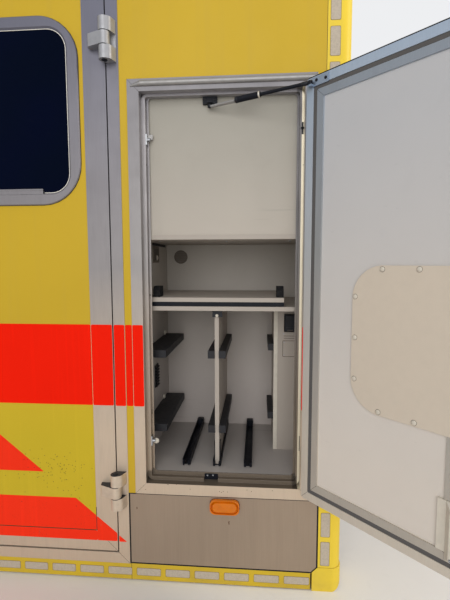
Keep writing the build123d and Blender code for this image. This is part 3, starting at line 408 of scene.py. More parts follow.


# Each material's kind and its values, colours first and linear
# A warm pale beige, the profiles' colour low down: a painted reflection of the floor
floor_reflection_beige = (0.61, 0.49, 0.37)
recipes = {
    "yellow_paint": (painted, (0.58, 0.385, 0.026)),
    "yellow_rail": (painted, (0.64, 0.44, 0.03), 0.05),
    # The corner pieces' paint, brighter than the wall's: painted sunlight on the front corner
    "yellow_corner": (painted, (0.82, 0.6, 0.055), 0.12),
    "olive_foil": (film, (0.6, 0.43, 0.028), (0.58, 0.43, 0.027)),
    "red_foil": (film, (0.9, 0.012, 0.001), (0.93, 0.035, 0.01)),
    "pale_foil": (reflective, (0.5, 0.43, 0.34)),
    "foil_edge": (moulded, (0.2, 0.14, 0.06)),
    "silver_profile": (anodised, floor_reflection_beige, (0.27, 0.25, 0.245), (0.135, 0.135, 0.17)),
    "frame_profile": (anodised, floor_reflection_beige, (0.3, 0.28, 0.27), (0.17, 0.165, 0.18), return_light),
    "door_rim": (anodised, (0.66, 0.6, 0.51), (0.5, 0.5, 0.49), (0.34, 0.45, 0.6)),
    "door_lip": (anodised, (0.5, 0.46, 0.4), (0.34, 0.34, 0.33), (0.25, 0.3, 0.37)),
    "bare_aluminium": (brushed_sheet, (0.35, 0.27, 0.2)),
    # The hinges' warm, pale low colour is a painted reflection of the floor
    "silver_hinge": (satin_metal, (0.34, 0.34, 0.355), 0.45, (0.66, 0.55, 0.43)),
    "dull_steel": (satin_metal, (0.3, 0.29, 0.28), 0.42),
    # The bracket steel's bluish colour is a painted reflection of the sky
    "bracket_steel": (satin_metal, (0.27, 0.33, 0.42), 0.4),
    "zinc_steel": (satin_metal, (0.42, 0.43, 0.45), 0.32),
    "bright_bead": (satin_metal, (0.7, 0.66, 0.58), 0.3, None, 0.2),
    "orange_lens": (lens, (0.8, 0.2, 0.004)),
    # The locker's boards are white; these greyer colours, darkest on the shelves and the floor, are painted
    # shade inside the locker. The cover board also turns darker towards the top
    "cover_board": (board, (0.47, 0.42, 0.36), (0.36, 0.34, 0.29), (1.25, 1.75)),
    "white_board": (board, (0.5, 0.45, 0.42), (0.5, 0.46, 0.4), (0.5, 1.3)),
    "shelf_board": (board, (0.42, 0.37, 0.32)),
    "floor_board": (board, (0.42, 0.385, 0.36)),
    # The locker door's board fades from warm low down to cool grey higher up: painted light from the floor
    # and the sky
    "door_board": (board, (0.67, 0.61, 0.54), (0.5, 0.5, 0.51), (0.55, 1.6), 0.5),
    "light_plastic": (moulded, (0.15, 0.125, 0.1)),
    "gauze": (moulded, (0.17, 0.145, 0.12)),
    "ivory_plastic": (moulded, (0.62, 0.57, 0.48), 0.45),
    "cream_plastic": (moulded, (0.61, 0.53, 0.43), 0.5, 500, 0.97),
    "black_metal": (black_coat, (0.005, 0.006, 0.01)),
    "black_plastic": (moulded, (0.006, 0.007, 0.011), 0.45),
    "grey_plastic": (moulded, (0.016, 0.016, 0.019)),
    "black_rubber": (rubber, (0.008, 0.008, 0.009)),
    "grey_rubber": (rubber, (0.1, 0.095, 0.092)),
    "rust": (rubber, (0.11, 0.045, 0.02)),
    "seam": (rubber, (0.045, 0.034, 0.024)),
    "dark_glass": (tinted_glass, (0.001, 0.0026, 0.014), (0.001, 0.003, 0.01)),
    "floor": (board, (0.8, 0.79, 0.77)),
}
materials = {name: kind(name, *values).material for name, (kind, *values) in recipes.items()}


# Pieces: faces gathered in a mesh, then placed and given a material and a body


def rectangle(span):
    """The four corners of a rectangle, in order."""
    left, right, bottom, top = span
    return [(left, bottom), (right, bottom), (right, top), (left, top)]


def rounded(span, radius):
    """The outline of a rectangle with round corners."""
    steps = 8
    radius = min(radius, (span.right - span.left) / 2, (span.top - span.bottom) / 2)
    left, right, bottom, top = grown(span, -radius)
    points = []
    for quarter, (x, z) in enumerate(((right, top), (left, top), (left, bottom), (right, bottom))):
        for step in range(steps + 1):
            turn = (quarter + step / steps) * pi / 2
            points.append((x + radius * cos(turn), z + radius * sin(turn)))
    return points


def clipped(outline, span):
    """The part of a convex outline that lies inside a rectangle."""
    limits = ((0, span.left, 1), (0, span.right, -1), (1, span.bottom, 1), (1, span.top, -1))
    for axis, limit, sign in limits:
        kept = []
        for here, after in zip(outline, outline[1:] + outline[:1]):
            inside = (here[axis] - limit) * sign >= 0
            if inside:
                kept.append(here)
            if inside != ((after[axis] - limit) * sign >= 0):
                share = (limit - here[axis]) / (after[axis] - here[axis])
                kept.append(tuple(a + (b - a) * share for a, b in zip(here, after)))
        outline = kept
        if len(outline) < 3:
            return []
    return outline


def new_object(name, data):
    """A new object in the scene."""
    made = bpy.data.objects.new(name, data)
    bpy.context.scene.collection.objects.link(made)
    return made


class Shape:
    """The faces of one piece, in the coordinates of the frame it is placed in."""

    def __init__(self):
        self.mesh = bmesh.new()

    def skin(self, rings, closed=False):
        """Faces between neighbouring rings of points, with the first and last ring joined or capped."""
        made = [[self.mesh.verts.new(point) for point in ring] for ring in rings]
        for first, second in zip(made, made[1:] + made[:1] if closed else made[1:]):
            for index in range(len(first)):
                after = (index + 1) % len(first)
                self.mesh.faces.new((first[index], first[after], second[after], second[index]))
        if not closed:
            self.mesh.faces.new(made[0])
            self.mesh.faces.new(made[-1])
        return self

    def prism(self, outline, low, high):
        """An outline made solid between two depths."""
        return self.skin([[(x, y, z) for x, z in outline] for y in (low, high)])

    def box(self, x, y, z):
        """A box between two limits on each axis."""
        return self.prism(rectangle(Span(*x, *z)), *y)

    def ring(self, outer, inner, low, high):
        """A flat ring between two outlines of as many points, made solid between two depths."""
        rings = [[(x, low, z) for x, z in outer], [(x, high, z) for x, z in outer],
                 [(x, high, z) for x, z in inner], [(x, low, z) for x, z in inner]]
        return self.skin(rings, closed=True)

    def lathe(self, profile, middle, axis, steps=24, closed=False):
        """A profile of (radius, distance) turned about an axis, closed to itself for a ring."""
        turn = Vector(axis).to_track_quat("Z", "Y").to_matrix()
        angles = [2 * pi * step / steps for step in range(steps)]
        rings = [[middle + turn @ Vector((radius * cos(angle), radius * sin(angle), distance))
                  for angle in angles] for radius, distance in profile]
        return self.skin(rings, closed)

    def piece(self, name, material, body, place=WALL, bevel=0.0, slot=None):
        """The finished object, riding on its body, or on none where it belongs to the stage."""
        bmesh.ops.recalc_face_normals(self.mesh, faces=self.mesh.faces)
        mesh = bpy.data.meshes.new(name)
        self.mesh.to_mesh(mesh)
        self.mesh.free()
        mesh.transform(place)
        mesh.materials.append(materials[material])
        for polygon in mesh.polygons:
            polygon.use_smooth = True
        mesh.set_sharp_from_angle(angle=sharp_angle)
        made = new_object(name, mesh)
        if body is None:
            return made
        if bevel:
            softened = made.modifiers.new("softened", "BEVEL")
            softened.width = bevel
            softened.segments = 2
            softened.limit_method = "ANGLE"
            softened.angle_limit = bevel_angle
            softened.harden_normals = True
        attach(made, body)
        return made


# The screws and caps that repeat


def screw(shape, middle, axis, radius):
    """A pan head screw with a round recess, its seat on the middle point."""
    # How far out and how high each corner of the head is, as shares of its radius
    corners = ((1, 0), (1, 0.25), (0.85, 0.5), (0.5, 0.62), (0.42, 0.62), (0.2, 0.3))
    return shape.lathe([(radius * out, radius * up) for out, up in corners], middle, axis, 16)


def dome(shape, middle, axis, radius, height):
    """A domed cap whose lowest quarter is upright."""
    upright = 0.25
    rows = 6
    profile = [(radius, 0), (radius, height * upright)]
    for row in range(1, rows):
        turn = row / rows * pi / 2
        profile.append((radius * cos(turn), height * (upright + (1 - upright) * sin(turn))))
    return shape.lathe(profile, middle, axis, 20)


# Where the outline of the part lies

wall = span_of("side_wall")
skin_y = face_of("side_wall")
jamb = span_of("entry_jamb")
flange_y = face_of("entry_jamb")
entry_leaf = span_of("entry_door_frame")
entry_panel = span_of("entry_door_panel")
entry_leaf_y = face_of("entry_door_frame")
entry_panel_y = face_of("entry_door_panel")
locker = span_of("locker_frame")
post = span_of("front_corner_post")
rail = span_of("bottom_rail")
skirt = span_of("skirt_panel")
shut_leaf = span_of("locker_door_frame", LEAF)
leaf_field = span_of("locker_door_panel", LEAF)
leaf_out_y = face_of("locker_door_frame", LEAF)
leaf_in_y = back_of("locker_door_frame", LEAF)

# Widths of the two frames' flanges, sizes of the foils, and the heights and tips of the red stripes
locker_flange = 0.041
jamb_flange = 0.0415
foil_thickness = 0.0003
foil_margin = 0.0012
foil_corner = 0.005
band_bottom = 0.64675
band_top = 0.94675
leaf_skin_overlap = 0.012
arrow_height = 0.165
arrow_slant = 0.196
arrows = ((0.38275, -0.2585), (0.11875, 0.0585))


def softened(outline, radius):
    """An outline with a small round in place of every corner, less where its sides are short."""
    steps = 3
    most = 0.45
    points = []
    for before, corner, after in zip(outline[-1:] + outline[:-1], outline, outline[1:] + outline[:1]):
        corner = Vector(corner)
        back = Vector(before) - corner
        on = Vector(after) - corner
        reach = min(radius, back.length * most, on.length * most)
        start, end = corner + back.normalized() * reach, corner + on.normalized() * reach
        for step in range(steps + 1):
            share = step / steps
            points.append(tuple(start.lerp(corner, share).lerp(corner.lerp(end, share), share)))
    return points


def foil(shape, outline, face, thickness=foil_thickness):
    """One flat foil with round corners on a face that looks outward."""
    if outline:
        shape.prism(softened(outline, foil_corner), face - thickness, face)


def single_foil(name, material, body, span, face, thickness=foil_thickness, place=WALL):
    """A piece that is one foil over one rectangle."""
    shape = Shape()
    foil(shape, rectangle(span), face, thickness)
    shape.piece(name, material, body, place)


def arrow(bottom, tip):
    """A level stripe whose front end is cut to a point at its lower edge."""
    return [(wall.left, bottom), (tip, bottom), (tip - arrow_slant, bottom + arrow_height),
            (wall.left, bottom + arrow_height)]


def foils():
    """The red band and the two pointed stripes, cut at every joint, and the doors' yellow fields."""
    low, high = entry_leaf.bottom, entry_leaf.top
    # Depth, left, right, bottom and top of each face that carries red
    faces_by_body = {
        "wall": (
            (flange_y, jamb.left, jamb.left + jamb_flange, low, high),
            (flange_y, jamb.right - jamb_flange, jamb.right, low, high),
            (skin_y, jamb.right, locker.left, low, high),
            (flange_y, locker.left, locker.left + locker_flange, low, high),
            (flange_y, locker.right - locker_flange, locker.right, low, high),
            (skin_y, locker.right, post.left, low, high),
        ),
        "entry_door": (
            (entry_panel_y, *entry_panel),
            (entry_leaf_y, entry_leaf.left, entry_panel.left, low, high),
            (entry_leaf_y, entry_panel.right, entry_leaf.right, low, high),
            (entry_leaf_y, entry_panel.left, entry_panel.right + 2 * foil_margin, low, entry_panel.bottom),
        ),
    }
    band = rectangle(Span(wall.left, wall.right, band_bottom, band_top))
    for body, faces in faces_by_body.items():
        shape = Shape()
        for face, *sides in faces:
            span = Span(*sides)
            inside = grown(span, -foil_margin)
            foil(shape, clipped(band, inside), face)
            stripes = arrows if span.right <= jamb.right else ()
            for bottom, tip in stripes:
                foil(shape, clipped(arrow(bottom, tip), inside), face)
        shape.piece(f"red_foils_{body}", "red_foil", body)

    leaf_band = Span(shut_leaf.left + foil_margin, shut_leaf.right - foil_margin, band_bottom, band_top)
    leaf_skin = grown(leaf_field, leaf_skin_overlap)
    single_foil("red_foil_locker_door", "red_foil", "locker_door", leaf_band, leaf_out_y,
                foil_thickness * 3, LEAF)
    single_foil("yellow_skin_locker_door", "yellow_paint", "locker_door", leaf_skin, leaf_out_y,
                foil_thickness * 2, LEAF)
    lower_panel = grown(entry_panel, -foil_margin)._replace(top=band_bottom)
    single_foil("olive_foil_entry_door", "olive_foil", "entry_door", lower_panel,
                entry_panel_y + foil_thickness / 2)


foils()


def reflectors():
    """The pale dashes along the sill rail and up the front corner, each on a slightly larger dark edge."""
    dash_length = 0.0905
    rail_pitch = 0.1108
    rail_first = 0.7384
    rail_dash = (-0.01325, 0.01475)
    corner_dash = (0.7785, 0.8095)
    corner_pitch = 0.1111
    corner_first = 0.06535
    edge = 0.0013
    rails, corners = [], []
    right = rail_first
    while right - dash_length > rail.left:
        rails.append(Span(right - dash_length, right, *rail_dash))
        right -= rail_pitch
    bottom = corner_first
    while bottom + dash_length < post.top:
        corners.append(Span(*corner_dash, bottom, bottom + dash_length))
        bottom += corner_pitch
    pale, dark = Shape(), Shape()
    for span in rails + corners:
        foil(dark, rectangle(grown(span, edge)), skin_y)
        foil(pale, rectangle(span), skin_y - foil_thickness)
    pale.piece("reflector_dashes", "pale_foil", "wall")
    dark.piece("reflector_edges", "foil_edge", "wall")


reflectors()


# Rows of like things, whose places are in millimetres


def blocks(name, material, rows, body="wall", place=WALL, bevel=0.0005):
    """One piece made of boxes, each given by its two limits along X, Y and Z."""
    shape = Shape()
    for row in rows:
        x0, x1, y0, y1, z0, z1 = (value / 1000 for value in row)
        shape.box((x0, x1), (y0, y1), (z0, z1))
    shape.piece(name, material, body, place, bevel)


def strips(name, material, rows, width, body="wall", place=WALL):
    """One piece made of thin lines on upright faces, each given by the face's depth and its two ends."""
    shape = Shape()
    proud = 0.00025
    for y, x0, z0, x1, z1 in rows:
        start, end = Vector((x0, z0)) / 1000, Vector((x1, z1)) / 1000
        side = (end - start).orthogonal().normalized() * width / 2
        outline = [tuple(point) for point in (start + side, end + side, end - side, start - side)]
        shape.prism(outline, y / 1000 - proud, y / 1000 + proud)
    shape.piece(name, material, body, place)


def screws(name, material, axis, radius, points, body="wall", place=WALL):
    """One piece made of like screw heads that look along one axis."""
    shape = Shape()
    for point in points:
        screw(shape, Vector(point) / 1000, axis, radius)
    shape.piece(name, material, body, place)


def domes(name, material, axis, radius, height, points, body="wall", place=WALL):
    """One piece made of like caps that look along one axis."""
    shape = Shape()
    for point in points:
        dome(shape, Vector(point) / 1000, axis, radius, height)
    shape.piece(name, material, body, place)


def mm(*values):
    """Distances in metres, in millimetres."""
    return [value * 1000 for value in values]


def corner_lines(face, outer, inner):
    """The lines between the corners of two rectangles given in metres, as rows of strips in millimetres."""
    return [mm(face, *here, *there) for here, there in zip(rectangle(outer), rectangle(inner))]


def edge_lines(face, span):
    """The four sides of a rectangle in millimetres, as rows of strips."""
    corners = rectangle(span)
    return [(face, *here, *there) for here, there in zip(corners, corners[1:] + corners[:1])]


def gap_shade_and_seals():
    """Dark strips round the skirt sheet and in the entry door's gap, which stand in for the shade in those
    gaps, and a dark strip on the locker door's top edge.
    """
    gap = 0.005
    cut = 0.022
    proud = 0.0003
    # A 45 degree cut is shorter by 2 minus root 2 times the gap on the inner outline
    diagonal = cut - 0.586 * gap
    top_line = skirt.top - 0.0012
    outer = [(jamb.right, rail.top), (post.left - cut - gap / 2, rail.top),
             (post.left, rail.top + cut + gap / 2), (post.left, locker.bottom), (jamb.right, locker.bottom)]
    inner = [(skirt.left, skirt.bottom), (skirt.right - diagonal, skirt.bottom),
             (skirt.right, skirt.bottom + diagonal), (skirt.right, top_line), (skirt.left, top_line)]
    front, back = skin_y + 0.006, skin_y + 0.044
    # Painted shade: a black ring in the gap round the skirt sheet, where there would be shade
    skirt_shade_ring = Shape().ring(outer, inner, skin_y - proud, front)
    skirt_shade_ring.piece("skirt_gap_shade_strip", "black_rubber", "wall", slot="black_rubber")

    # Painted shade: a black lining in the entry door's gap, where there would be shade
    clearance, thickness = 0.0024, 0.0021
    opening = grown(entry_leaf, clearance)
    seal = Shape().ring(rectangle(opening), rectangle(grown(opening, -thickness)), front, back)
    seal.piece("entry_gap_shade_lining", "black_rubber", "wall", slot="black_rubber")
    ends = (-562, -25)
    blocks("locker_door_top_seal", "black_rubber",
           [(*ends, 32, 38.2, 1746, 1749.4), (*ends, 33, 36, 1749.2, 1750)], "locker_door", LEAF)


def seams():
    """Thin dark joints between the parts of the wall, and the mitres of the frames."""
    skin, post_x, post_top, jamb_x = mm(skin_y, post.left, post.top, jamb.right)
    rail_left, rail_right, rail_bottom, rail_top = mm(*rail)
    rail_joint = 73.3
    rail_end = rail_right - 0.5
    lower_corner_top = 55
    strips("wall_seams", "seam", [
        (skin, post_x, lower_corner_top, post_x, post_top),
        (skin, rail_joint, rail_bottom, rail_joint, rail_top),
        (skin, rail_end, rail_bottom, rail_end, rail_top - 2),
        (skin, rail_left, rail_top, jamb_x, rail_top),
    ], 0.0014)
    mitre = 0.0008
    rows = corner_lines(flange_y, locker, grown(locker, -locker_flange))
    rows += corner_lines(flange_y, jamb, grown(jamb, -jamb_flange))
    strips("frame_mitres", "seam", rows, mitre)
    rows = corner_lines(entry_leaf_y, entry_leaf, entry_panel)
    strips("entry_door_mitres", "seam", rows, mitre, "entry_door")
    face, left, right, bottom = mm(entry_leaf_y, *entry_panel[:3])
    side_height = 92
    rows = [(face, left, bottom, right, bottom), (face, right, bottom, right, bottom + side_height)]
    strips("entry_panel_lines", "seam", rows, 0.0022, "entry_door")
    rim_edge, groove_start, groove_end = 0.0035, 0.028, 0.042
    rows = corner_lines(leaf_in_y, grown(shut_leaf, -rim_edge), grown(shut_leaf, -groove_start))
    rows += corner_lines(leaf_in_y + 0.0004, grown(shut_leaf, -groove_end), leaf_field)
    strips("locker_door_mitres", "seam", rows, mitre, "locker_door", LEAF)


def locker_door_trim():
    """The locker door's duller lip, the cover plate's caps, the lock parts and the screws of both faces."""
    lip = Shape().ring(rounded(grown(shut_leaf, -0.0425), 0.003), rounded(leaf_field, 0.001),
                       leaf_in_y - 0.0005, leaf_in_y + 0.0004)
    lip.piece("locker_door_lip", "door_lip", "locker_door", LEAF)
    hinge_edge = -18
    # How far each cap is from the leaf's edge at the hinges, and its height
    caps = [(hinge_edge - inset, z) for inset, z in (
        (280, 1150.25), (384, 1151.25), (196, 1068.75), (198, 946.75), (199, 821.75), (280, 740.75),
        (385, 740.75))]
    for name, material, y, radius, height in (("caps", "ivory_plastic", 39, 0.0072, 0.004),
                                              ("cap_seats", "light_plastic", 38.9, 0.0082, 0.0008)):
        points = [(x, y, z) for x, z in caps]
        domes(f"cover_plate_{name}", material, INWARD, radius, height, points, "locker_door", LEAF)
    # Name, material, radius and places of the screws on the inside
    for name, material, radius, points in (
            ("door_bracket_screws", "black_metal", 0.0048, [(-58.6, 41, 1732.5), (-93.3, 41, 1729)]),
            ("bolt_bar_screws", "zinc_steel", 0.0038, [(-527, 43, z) for z in (440, 640, 1230, 1460, 1660)]),
            ("lock_case_screws", "zinc_steel", 0.0042, [(-516, 56, z) for z in (420, 548)])):
        screws(name, material, INWARD, radius, points, "locker_door", LEAF)
    blocks("lock_case_bracket", "black_metal",
           [(-537, -519, 38, 47, 566, 590), (-534, -522, 47, 51, 570, 586)], "locker_door", LEAF, 0.001)
    lock = Shape()
    lock_place = Vector((-0.501, 0.009, 0.812))
    for radius, depth in ((0.0085, 0.0024), (0.006, 0.0034)):
        profile = [(radius, 0), (radius, depth), (radius * 0.8, depth), (radius * 0.3, depth * 0.6)]
        lock.lathe(profile, lock_place, OUTWARD, 20)
    lock.piece("paddle_lock", "zinc_steel", "locker_door", LEAF)
    hinge_heights = (1650.75, 1070.75, 470.75)
    points = [(-30, 16, z + side) for z in hinge_heights for side in (-22, 0, 22)]
    screws("locker_hinge_screws", "zinc_steel", OUTWARD, 0.0038, points, "locker_door", LEAF)


def strut_trim():
    """The gas strut's end sockets, rings and ball cap, set along its line from the door's eye."""
    door_eye = Vector((0.705709, -0.131945, 1.72775))
    frame_eye = Vector((0.3765, -0.015, 1.70875))
    run = (frame_eye - door_eye).normalized()
    socket = [(0.0056, 0.008), (0.0068, 0.01), (0.0068, 0.026), (0.0056, 0.028)]
    collar = [(0.0101, 0.244), (0.0105, 0.245), (0.0105, 0.252), (0.0101, 0.2528)]
    rings = Shape().lathe(socket, door_eye, run, 20, True).lathe(collar, door_eye, run, 24, True)
    rings.piece("strut_collars", "black_plastic", "strut_cylinder")
    bright = [(0.01, 0.1655), (0.0106, 0.1662), (0.0106, 0.1705), (0.01, 0.1712)]
    ring = Shape().lathe(bright, door_eye, run, 24, True)
    dome(ring, door_eye + Vector((0, 0, 0.005)), UP, 0.0045, 0.003)
    ring.piece("strut_bright_parts", "bright_bead", "strut_cylinder")
    rod_end = [(0.0036, 0.33), (0.0058, 0.331), (0.0058, 0.341), (0.0036, 0.342)]
    eye = [(0.0066, -0.0052), (0.0078, -0.0046), (0.0078, 0.0046), (0.0066, 0.0052)]
    fitting = Shape().lathe(rod_end, door_eye, run, 20).lathe(eye, frame_eye, UP)
    fitting.piece("strut_rod_socket", "black_plastic", "strut_rod")
    screws("strut_bracket_screws", "grey_plastic", OUTWARD, 0.0042,
           [(x, -10, 1732.5) for x in (359, 394)])


def frame_trim():
    """Small fittings on the locker frame: striker bracket, stop, screws and stray bits of black tape."""
    blocks("striker_bracket", "dull_steel",
           [(149, 172, -9, -6, 1602.8, 1620.4), (153, 168, -11, -9, 1606, 1617)], bevel=0.0008)
    stop = Shape()
    for radius, height in ((0.0108, 0.002), (0.0095, 0.006)):
        dome(stop, Vector((165.5, -6, 498.5)) / 1000, OUTWARD, radius, height)
    stop.piece("striker_stop", "ivory_plastic", "wall")
    screws("strike_plate_screws", "zinc_steel", OUTWARD, 0.003,
           [(359.9, -9, 370.5), (380.8, -9, 371.5)])
    # Where each bit of tape starts and ends, across and in height
    tapes = ((692, 698, 1604, 1644), (688, 702, 1620, 1628), (698, 701.5, 1500, 1503.5),
             (697.5, 703.6, 485, 541), (155, 158, 1049, 1056), (150.5, 153.5, 1511, 1514),
             (155, 157, 609, 628))
    blocks("frame_tape", "black_plastic",
           [(left, right, -24.8, -23.5, low, high) for left, right, low, high in tapes])


def grit():
    """Specks of tar on the sill flange and the entry door, and two rusty nicks in the skirt sheet."""
    tar = ((216.3, 352.6), (219.5, 351.8), (250.1, 354), (409.4, 334), (416.7, 330.4), (423.1, 333.9),
           (438.8, 333.2), (510, 343.5), (526.4, 339), (133, 330), (301, 338), (602, 345))
    radius, height = 0.0013, 0.0003
    flange, panel, rim, skin = mm(flange_y, entry_panel_y, entry_leaf_y, skin_y)
    domes("sill_specks", "seam", OUTWARD, radius, height, [(x, flange, z) for x, z in tar])
    chance = Random(7)
    splashes = [(chance.gauss(-215, 72), panel - 0.4, chance.gauss(385, 50)) for _ in range(90)]
    splashes += [(chance.uniform(-55, 15), rim - 0.3, chance.uniform(190, 480)) for _ in range(26)]
    panel_edge, rim_depth = -62, -52
    splashes = [(x, y, z) for x, y, z in splashes if x < panel_edge or y < rim_depth]
    domes("door_specks", "black_plastic", OUTWARD, radius, height, splashes, "entry_door")
    strips("skirt_nicks", "rust", [(skin, 98.6, 250, 98.4, 259), (skin, 444.2, 206, 443.6, 214),
                                           (skin, 442, 214, 445.5, 219)], 0.003)


def entry_door_trim():
    """The window's outline, bright bead and foot bar, and the hinges' caps and black washers, which also
    stand in for the shade in the knuckle gaps.
    """
    window = span_of("entry_window_frame")
    glass = grown(window, -0.044)
    outer_radius, glass_radius = 0.143, 0.066
    face = entry_panel_y
    line = Shape().ring(rounded(grown(window, 0.0012), outer_radius),
                        rounded(grown(window, -0.0004), outer_radius), face - 0.0012, face)
    line.piece("window_outline", "black_rubber", "entry_door", slot="black_rubber")
    bead = Shape().ring(rounded(grown(glass, 0.0032), glass_radius), rounded(glass, glass_radius),
                        face - 0.0016, face + 0.001)
    bead.piece("window_bead", "bright_bead", "entry_door", bevel=0.0004)
    bar_y = face * 1000 - 5
    bar_ends = (-576, -215)
    bar = [(*bar_ends, bar_y, bar_y + 5, 1412, 1431), (*bar_ends, bar_y - 1, bar_y, 1425, 1430)]
    blocks("window_foot_bar", "silver_profile", bar, "entry_door")
    slots = [(x, x + 26, bar_y - 0.6, bar_y + 1, 1409.6, 1412.2) for x in (-298, -402, -506)]
    slots.append((-215, -210, bar_y + 1, bar_y + 4, 1413, 1424))
    blocks("window_foot_slots", "black_plastic", slots, "entry_door")

    pin = (29.5, -76)
    half_length = 66.75
    knuckle_joint = 22.25
    heights = (1914, 330)
    for end, axis, side in (("above", UP, half_length), ("below", DOWN, -half_length)):
        domes(f"entry_hinge_caps_{end}", "black_plastic", axis, 0.0105, 0.0028,
              [(*pin, z + side) for z in heights])
    # Black washers between the knuckles, made big enough to stand in for the shade in the gaps as well:
    # partly painted shade
    washers = Shape()
    profile = [(0.0188, -0.0013), (0.0194, -0.001), (0.0194, 0.001), (0.0188, 0.0013)]
    for height in heights:
        for side in (-knuckle_joint, knuckle_joint):
            washers.lathe(profile, Vector((*pin, height + side)) / 1000, UP, 28)
    washers.piece("entry_hinge_washers_and_gap_shade", "black_plastic", "wall")


def locker_trim():
    """Fittings inside the locker: screws, rests, slotted box, the vent's gauze, knobs and channel ends."""
    inner = span_of("upper_cover").left * 1000
    screws("partition_screws", "zinc_steel", DOWN, 0.0045,
           [(x, y, 1252.75) for x, y in ((162.3, 116.4), (420.6, 164), (668.2, 131.7))])
    blocks("wall_rests", "black_plastic", [
        (inner, inner + 3, 203, 437, 1240, 1251), (inner, inner + 4, 204, 259, 637, 732),
        *((inner + 4, inner + 10, 206, 257, z, z + 5) for z in range(640, 730, 13)),
        (375, 413, 50, 58, 964, 987), (379, 382, 60, 90, 383, 470), (399, 402, 60, 90, 383, 470),
    ])
    blocks("wall_slotted_box", "light_plastic",
           [(inner, inner + 5, 207, 300, 1172, 1236), (inner, inner + 2, 204, 303, 1169, 1239)], bevel=0.001)
    blocks("wall_box_slots", "black_plastic",
           [(inner + 4.6, inner + 5.3, y, y + 4, 1180, 1228) for y in range(216, 296, 10)])
    vent_middle = Vector((0.1775, back_of("vent") - 0.003, 1.19575))
    gauze = Shape().lathe([(0.031, 0), (0.031, 0.001), (0.029, 0.0015)], vent_middle, INWARD, 28)
    gauze.lathe([(0.005, 0), (0.005, 0.0022), (0.0038, 0.0026)], vent_middle, INWARD, 16)
    gauze.piece("vent_gauze", "gauze", "wall")
    domes("wall_knobs", "ivory_plastic", FORWARD, 0.011, 0.009,
          [(inner + 2, y, z) for y, z in ((387, 845), (357, 550), (260, 1190))])
    domes("divider_cap", "ivory_plastic", OUTWARD, 0.006, 0.003, [(392, 50, 970)])
    ends = []
    for x in (270.5, 390.5, 510.5):
        ends += [(x - 13, x - 7, 37, 52, 384, 399), (x + 7, x + 13, 37, 52, 384, 399),
                 (x - 14, x + 14, 440, 466, 382, 414)]
    blocks("channel_ends", "black_metal", ends, bevel=0.001)


def service_box_trim():
    """The service box's corner strip, slots, hatch and screws, and the dial and bar on the control unit."""
    box = span_of("service_box")
    front, bottom, top = mm(face_of("service_box"), box.bottom, box.top)
    corner = 612.2
    blocks("service_box_corner", "ivory_plastic",
           [(corner, 628.6, front - 2, front + 2, bottom + 1, top - 1),
            (corner, 615, front, front + 18, bottom + 1, top - 1)], bevel=0.001)
    line = 0.0016
    hatch = Span(649.5, 717.5, 780.75, 846.75)
    rows = edge_lines(front, hatch) + [(front, 654, z, 715.5, z) for z in (867, 857.5)]
    strips("service_box_slots", "seam", rows, line)
    screws("service_box_screws", "zinc_steel", OUTWARD, 0.0028,
           [(x, front, z) for x, z in ((652.8, 875.2), (655, 787), (712, 787), (655, 841), (712, 841))])
    unit = face_of("control_unit")
    dial = Shape().lathe([(0.0095, 0), (0.0095, 0.0012), (0.0078, 0.0012), (0.0072, 0.0004)],
                         Vector((0.7, unit, 0.913)), OUTWARD)
    dial.piece("control_dial", "grey_plastic", "wall")
    ends = [(unit * 1000, x, 891.6, x, 895.8) for x in (666.8, 685.7)]
    strips("control_bar", "light_plastic", [(unit * 1000, 666, 893.7, 686.5, 893.7)] + ends, line)


def lamp_trim():
    """The marker lamp's rounder rim and the dark gasket under it."""
    lamp_span = span_of("side_marker_lamp")
    gasket_y = skin_y - 0.001
    inner = rounded(grown(lamp_span, -0.0012), 0.024)
    rim = Shape().ring(rounded(grown(lamp_span, 0.0012), 0.02), inner, face_of("side_marker_lamp") - 0.0003,
                       gasket_y)
    rim.piece("lamp_rim", "orange_lens", "wall")
    gasket = Shape().ring(rounded(grown(lamp_span, 0.0022), 0.021), inner, gasket_y, skin_y + 0.002)
    gasket.piece("lamp_gasket", "black_rubber", "wall", slot="black_rubber")


for fit in (gap_shade_and_seals, seams, locker_door_trim, strut_trim, frame_trim, grit, entry_door_trim, locker_trim,
            service_box_trim, lamp_trim):
    fit()


def paint_nodes():
    """The material of every node."""
    by_material = {
        "yellow_paint": "side_wall top_rail entry_door_panel",
        "yellow_rail": "bottom_rail",
        # The corner pieces take the brighter paint, painted sunlight
        "yellow_corner": "front_corner_post lower_corner upper_corner",
        "silver_profile": "entry_jamb entry_door_frame rear_joint_profile entry_window_frame",
        "frame_profile": "locker_frame",
        "door_rim": "locker_door_frame",
        "bare_aluminium": "skirt_panel",
        "orange_lens": "side_marker_lamp",
        "silver_hinge": "jamb_hinges entry_door_hinges entry_door_handle",
        "zinc_steel": "frame_hinges locker_door_hinges striker_pins",
        "bracket_steel": "strut_door_bracket",
        "dull_steel": "drip_rail strut_rod",
        "ivory_plastic": "locker_lock_gear",
        "cover_board": "upper_cover",
        "white_board": "locker_side_walls locker_roof locker_back",
        "floor_board": "locker_floor",
        "shelf_board": "locker_shelves tray divider service_box",
        "door_board": "locker_door_panel",
        "light_plastic": "vent",
        "cream_plastic": "locker_cover_plate",
        "black_metal": "floor_channels strut_frame_bracket strike_plate strut_cylinder tray_slides",
        "black_plastic": "control_unit locker_door_handle",
        "grey_plastic": "side_guides",
        "black_rubber": "tray_clamps",
        "grey_rubber": "locker_door_seal",
        "dark_glass": "entry_window_glass",
    }
    for material, names in by_material.items():
        for name in names.split():
            mesh = nodes[name].data
            mesh.materials.clear()
            mesh.materials.append(materials[material])


paint_nodes()


# Floor, light and camera

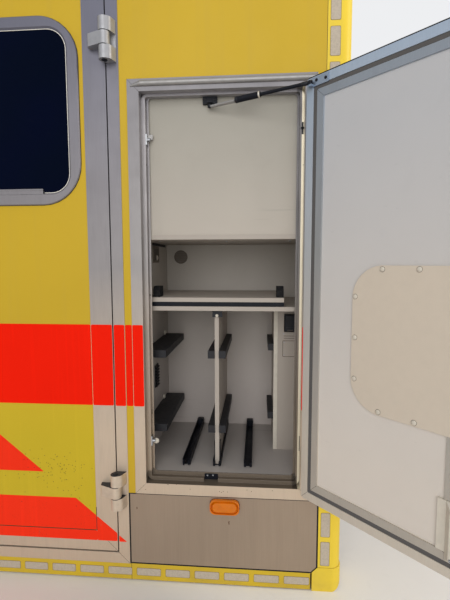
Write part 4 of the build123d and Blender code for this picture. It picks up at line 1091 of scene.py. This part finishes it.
floor_reach = 9
floor_thickness = 0.02
world_light = 0.5
world_seen = 0.88
world_colour = (0.97, 0.98, 1, 1)
lamp_place = (0.3, -7, 3.4)
lamp_size = 5.5
lamp_power = 268
side_place = (4.2, -0.6, 3)
side_size = 1.4
side_power = 70
side_colour = (1, 0.93, 0.82)
looked_at = Vector((0.3, 0, 1.1))

# The camera: its place in metres, its turn, tilt and roll in degrees, its lens and sensor in millimetres
camera_place = Vector((0.5465, -1.4996, 1.17075))
camera_angles = (-4.56, -5.2, -0.12)
camera_lens = 24.93
camera_sensor = 36


def stage():
    """A wide pale floor and an even world, which is paler to the eye and to mirrors than as a light."""
    floor_z = span_of("lower_corner").bottom
    outline = rectangle(Span(-floor_reach, floor_reach, -floor_reach, floor_reach))
    rings = [[(x, y, floor_z - depth) for x, y in outline] for depth in (0, floor_thickness)]
    shape = Shape()
    shape.skin(rings).piece("floor", "floor", None)

    world = bpy.data.worlds.new("studio")
    bpy.context.scene.world = world
    world.use_nodes = True
    tree = world.node_tree
    path = tree.nodes.new("ShaderNodeLightPath").outputs
    seen = path["Is Camera Ray"]
    for kind in ("Is Glossy Ray", "Is Transmission Ray"):
        seen = new_node(tree, "ShaderNodeMath", {0: seen, 1: path[kind]}, operation="MAXIMUM").outputs[0]
    feeds = {"Value": seen, "To Min": world_light, "To Max": world_seen}
    level = new_node(tree, "ShaderNodeMapRange", feeds)
    background = tree.nodes["Background"].inputs
    feed(background["Strength"], level.outputs["Result"])
    feed(background["Color"], world_colour)


def lamp(name, place, target, size, power, colour=(1, 1, 1)):
    """A soft square lamp that looks at one point and isn't seen itself."""
    data = bpy.data.lights.new(name, "AREA")
    data.size = size
    data.energy = power
    data.color = colour
    made = new_object(name, data)
    made.location = place
    made.rotation_euler = (Vector(target) - Vector(place)).to_track_quat("-Z", "Y").to_euler()
    made.visible_camera = False


def camera():
    """The camera at the photograph's place and angle: its height over the floor, its turn and its tilt."""
    yaw, pitch, roll = (radians(angle) for angle in camera_angles)
    turn = Matrix.Rotation(-yaw, 4, "Z") @ Matrix.Rotation(pi / 2 + pitch, 4, "X")
    data = bpy.data.cameras.new("camera")
    data.sensor_width = camera_sensor
    data.lens = camera_lens
    made = new_object("camera", data)
    made.matrix_world = Matrix.Translation(camera_place) @ turn @ Matrix.Rotation(roll, 4, "Z")
    bpy.context.scene.camera = made


stage()
lamp("key", lamp_place, looked_at, lamp_size, lamp_power)
lamp("side", side_place, looked_at + Vector((0.5, 0, 0)), side_size, side_power, side_colour)
camera()

bpy.context.scene.view_settings.view_transform = "Standard"
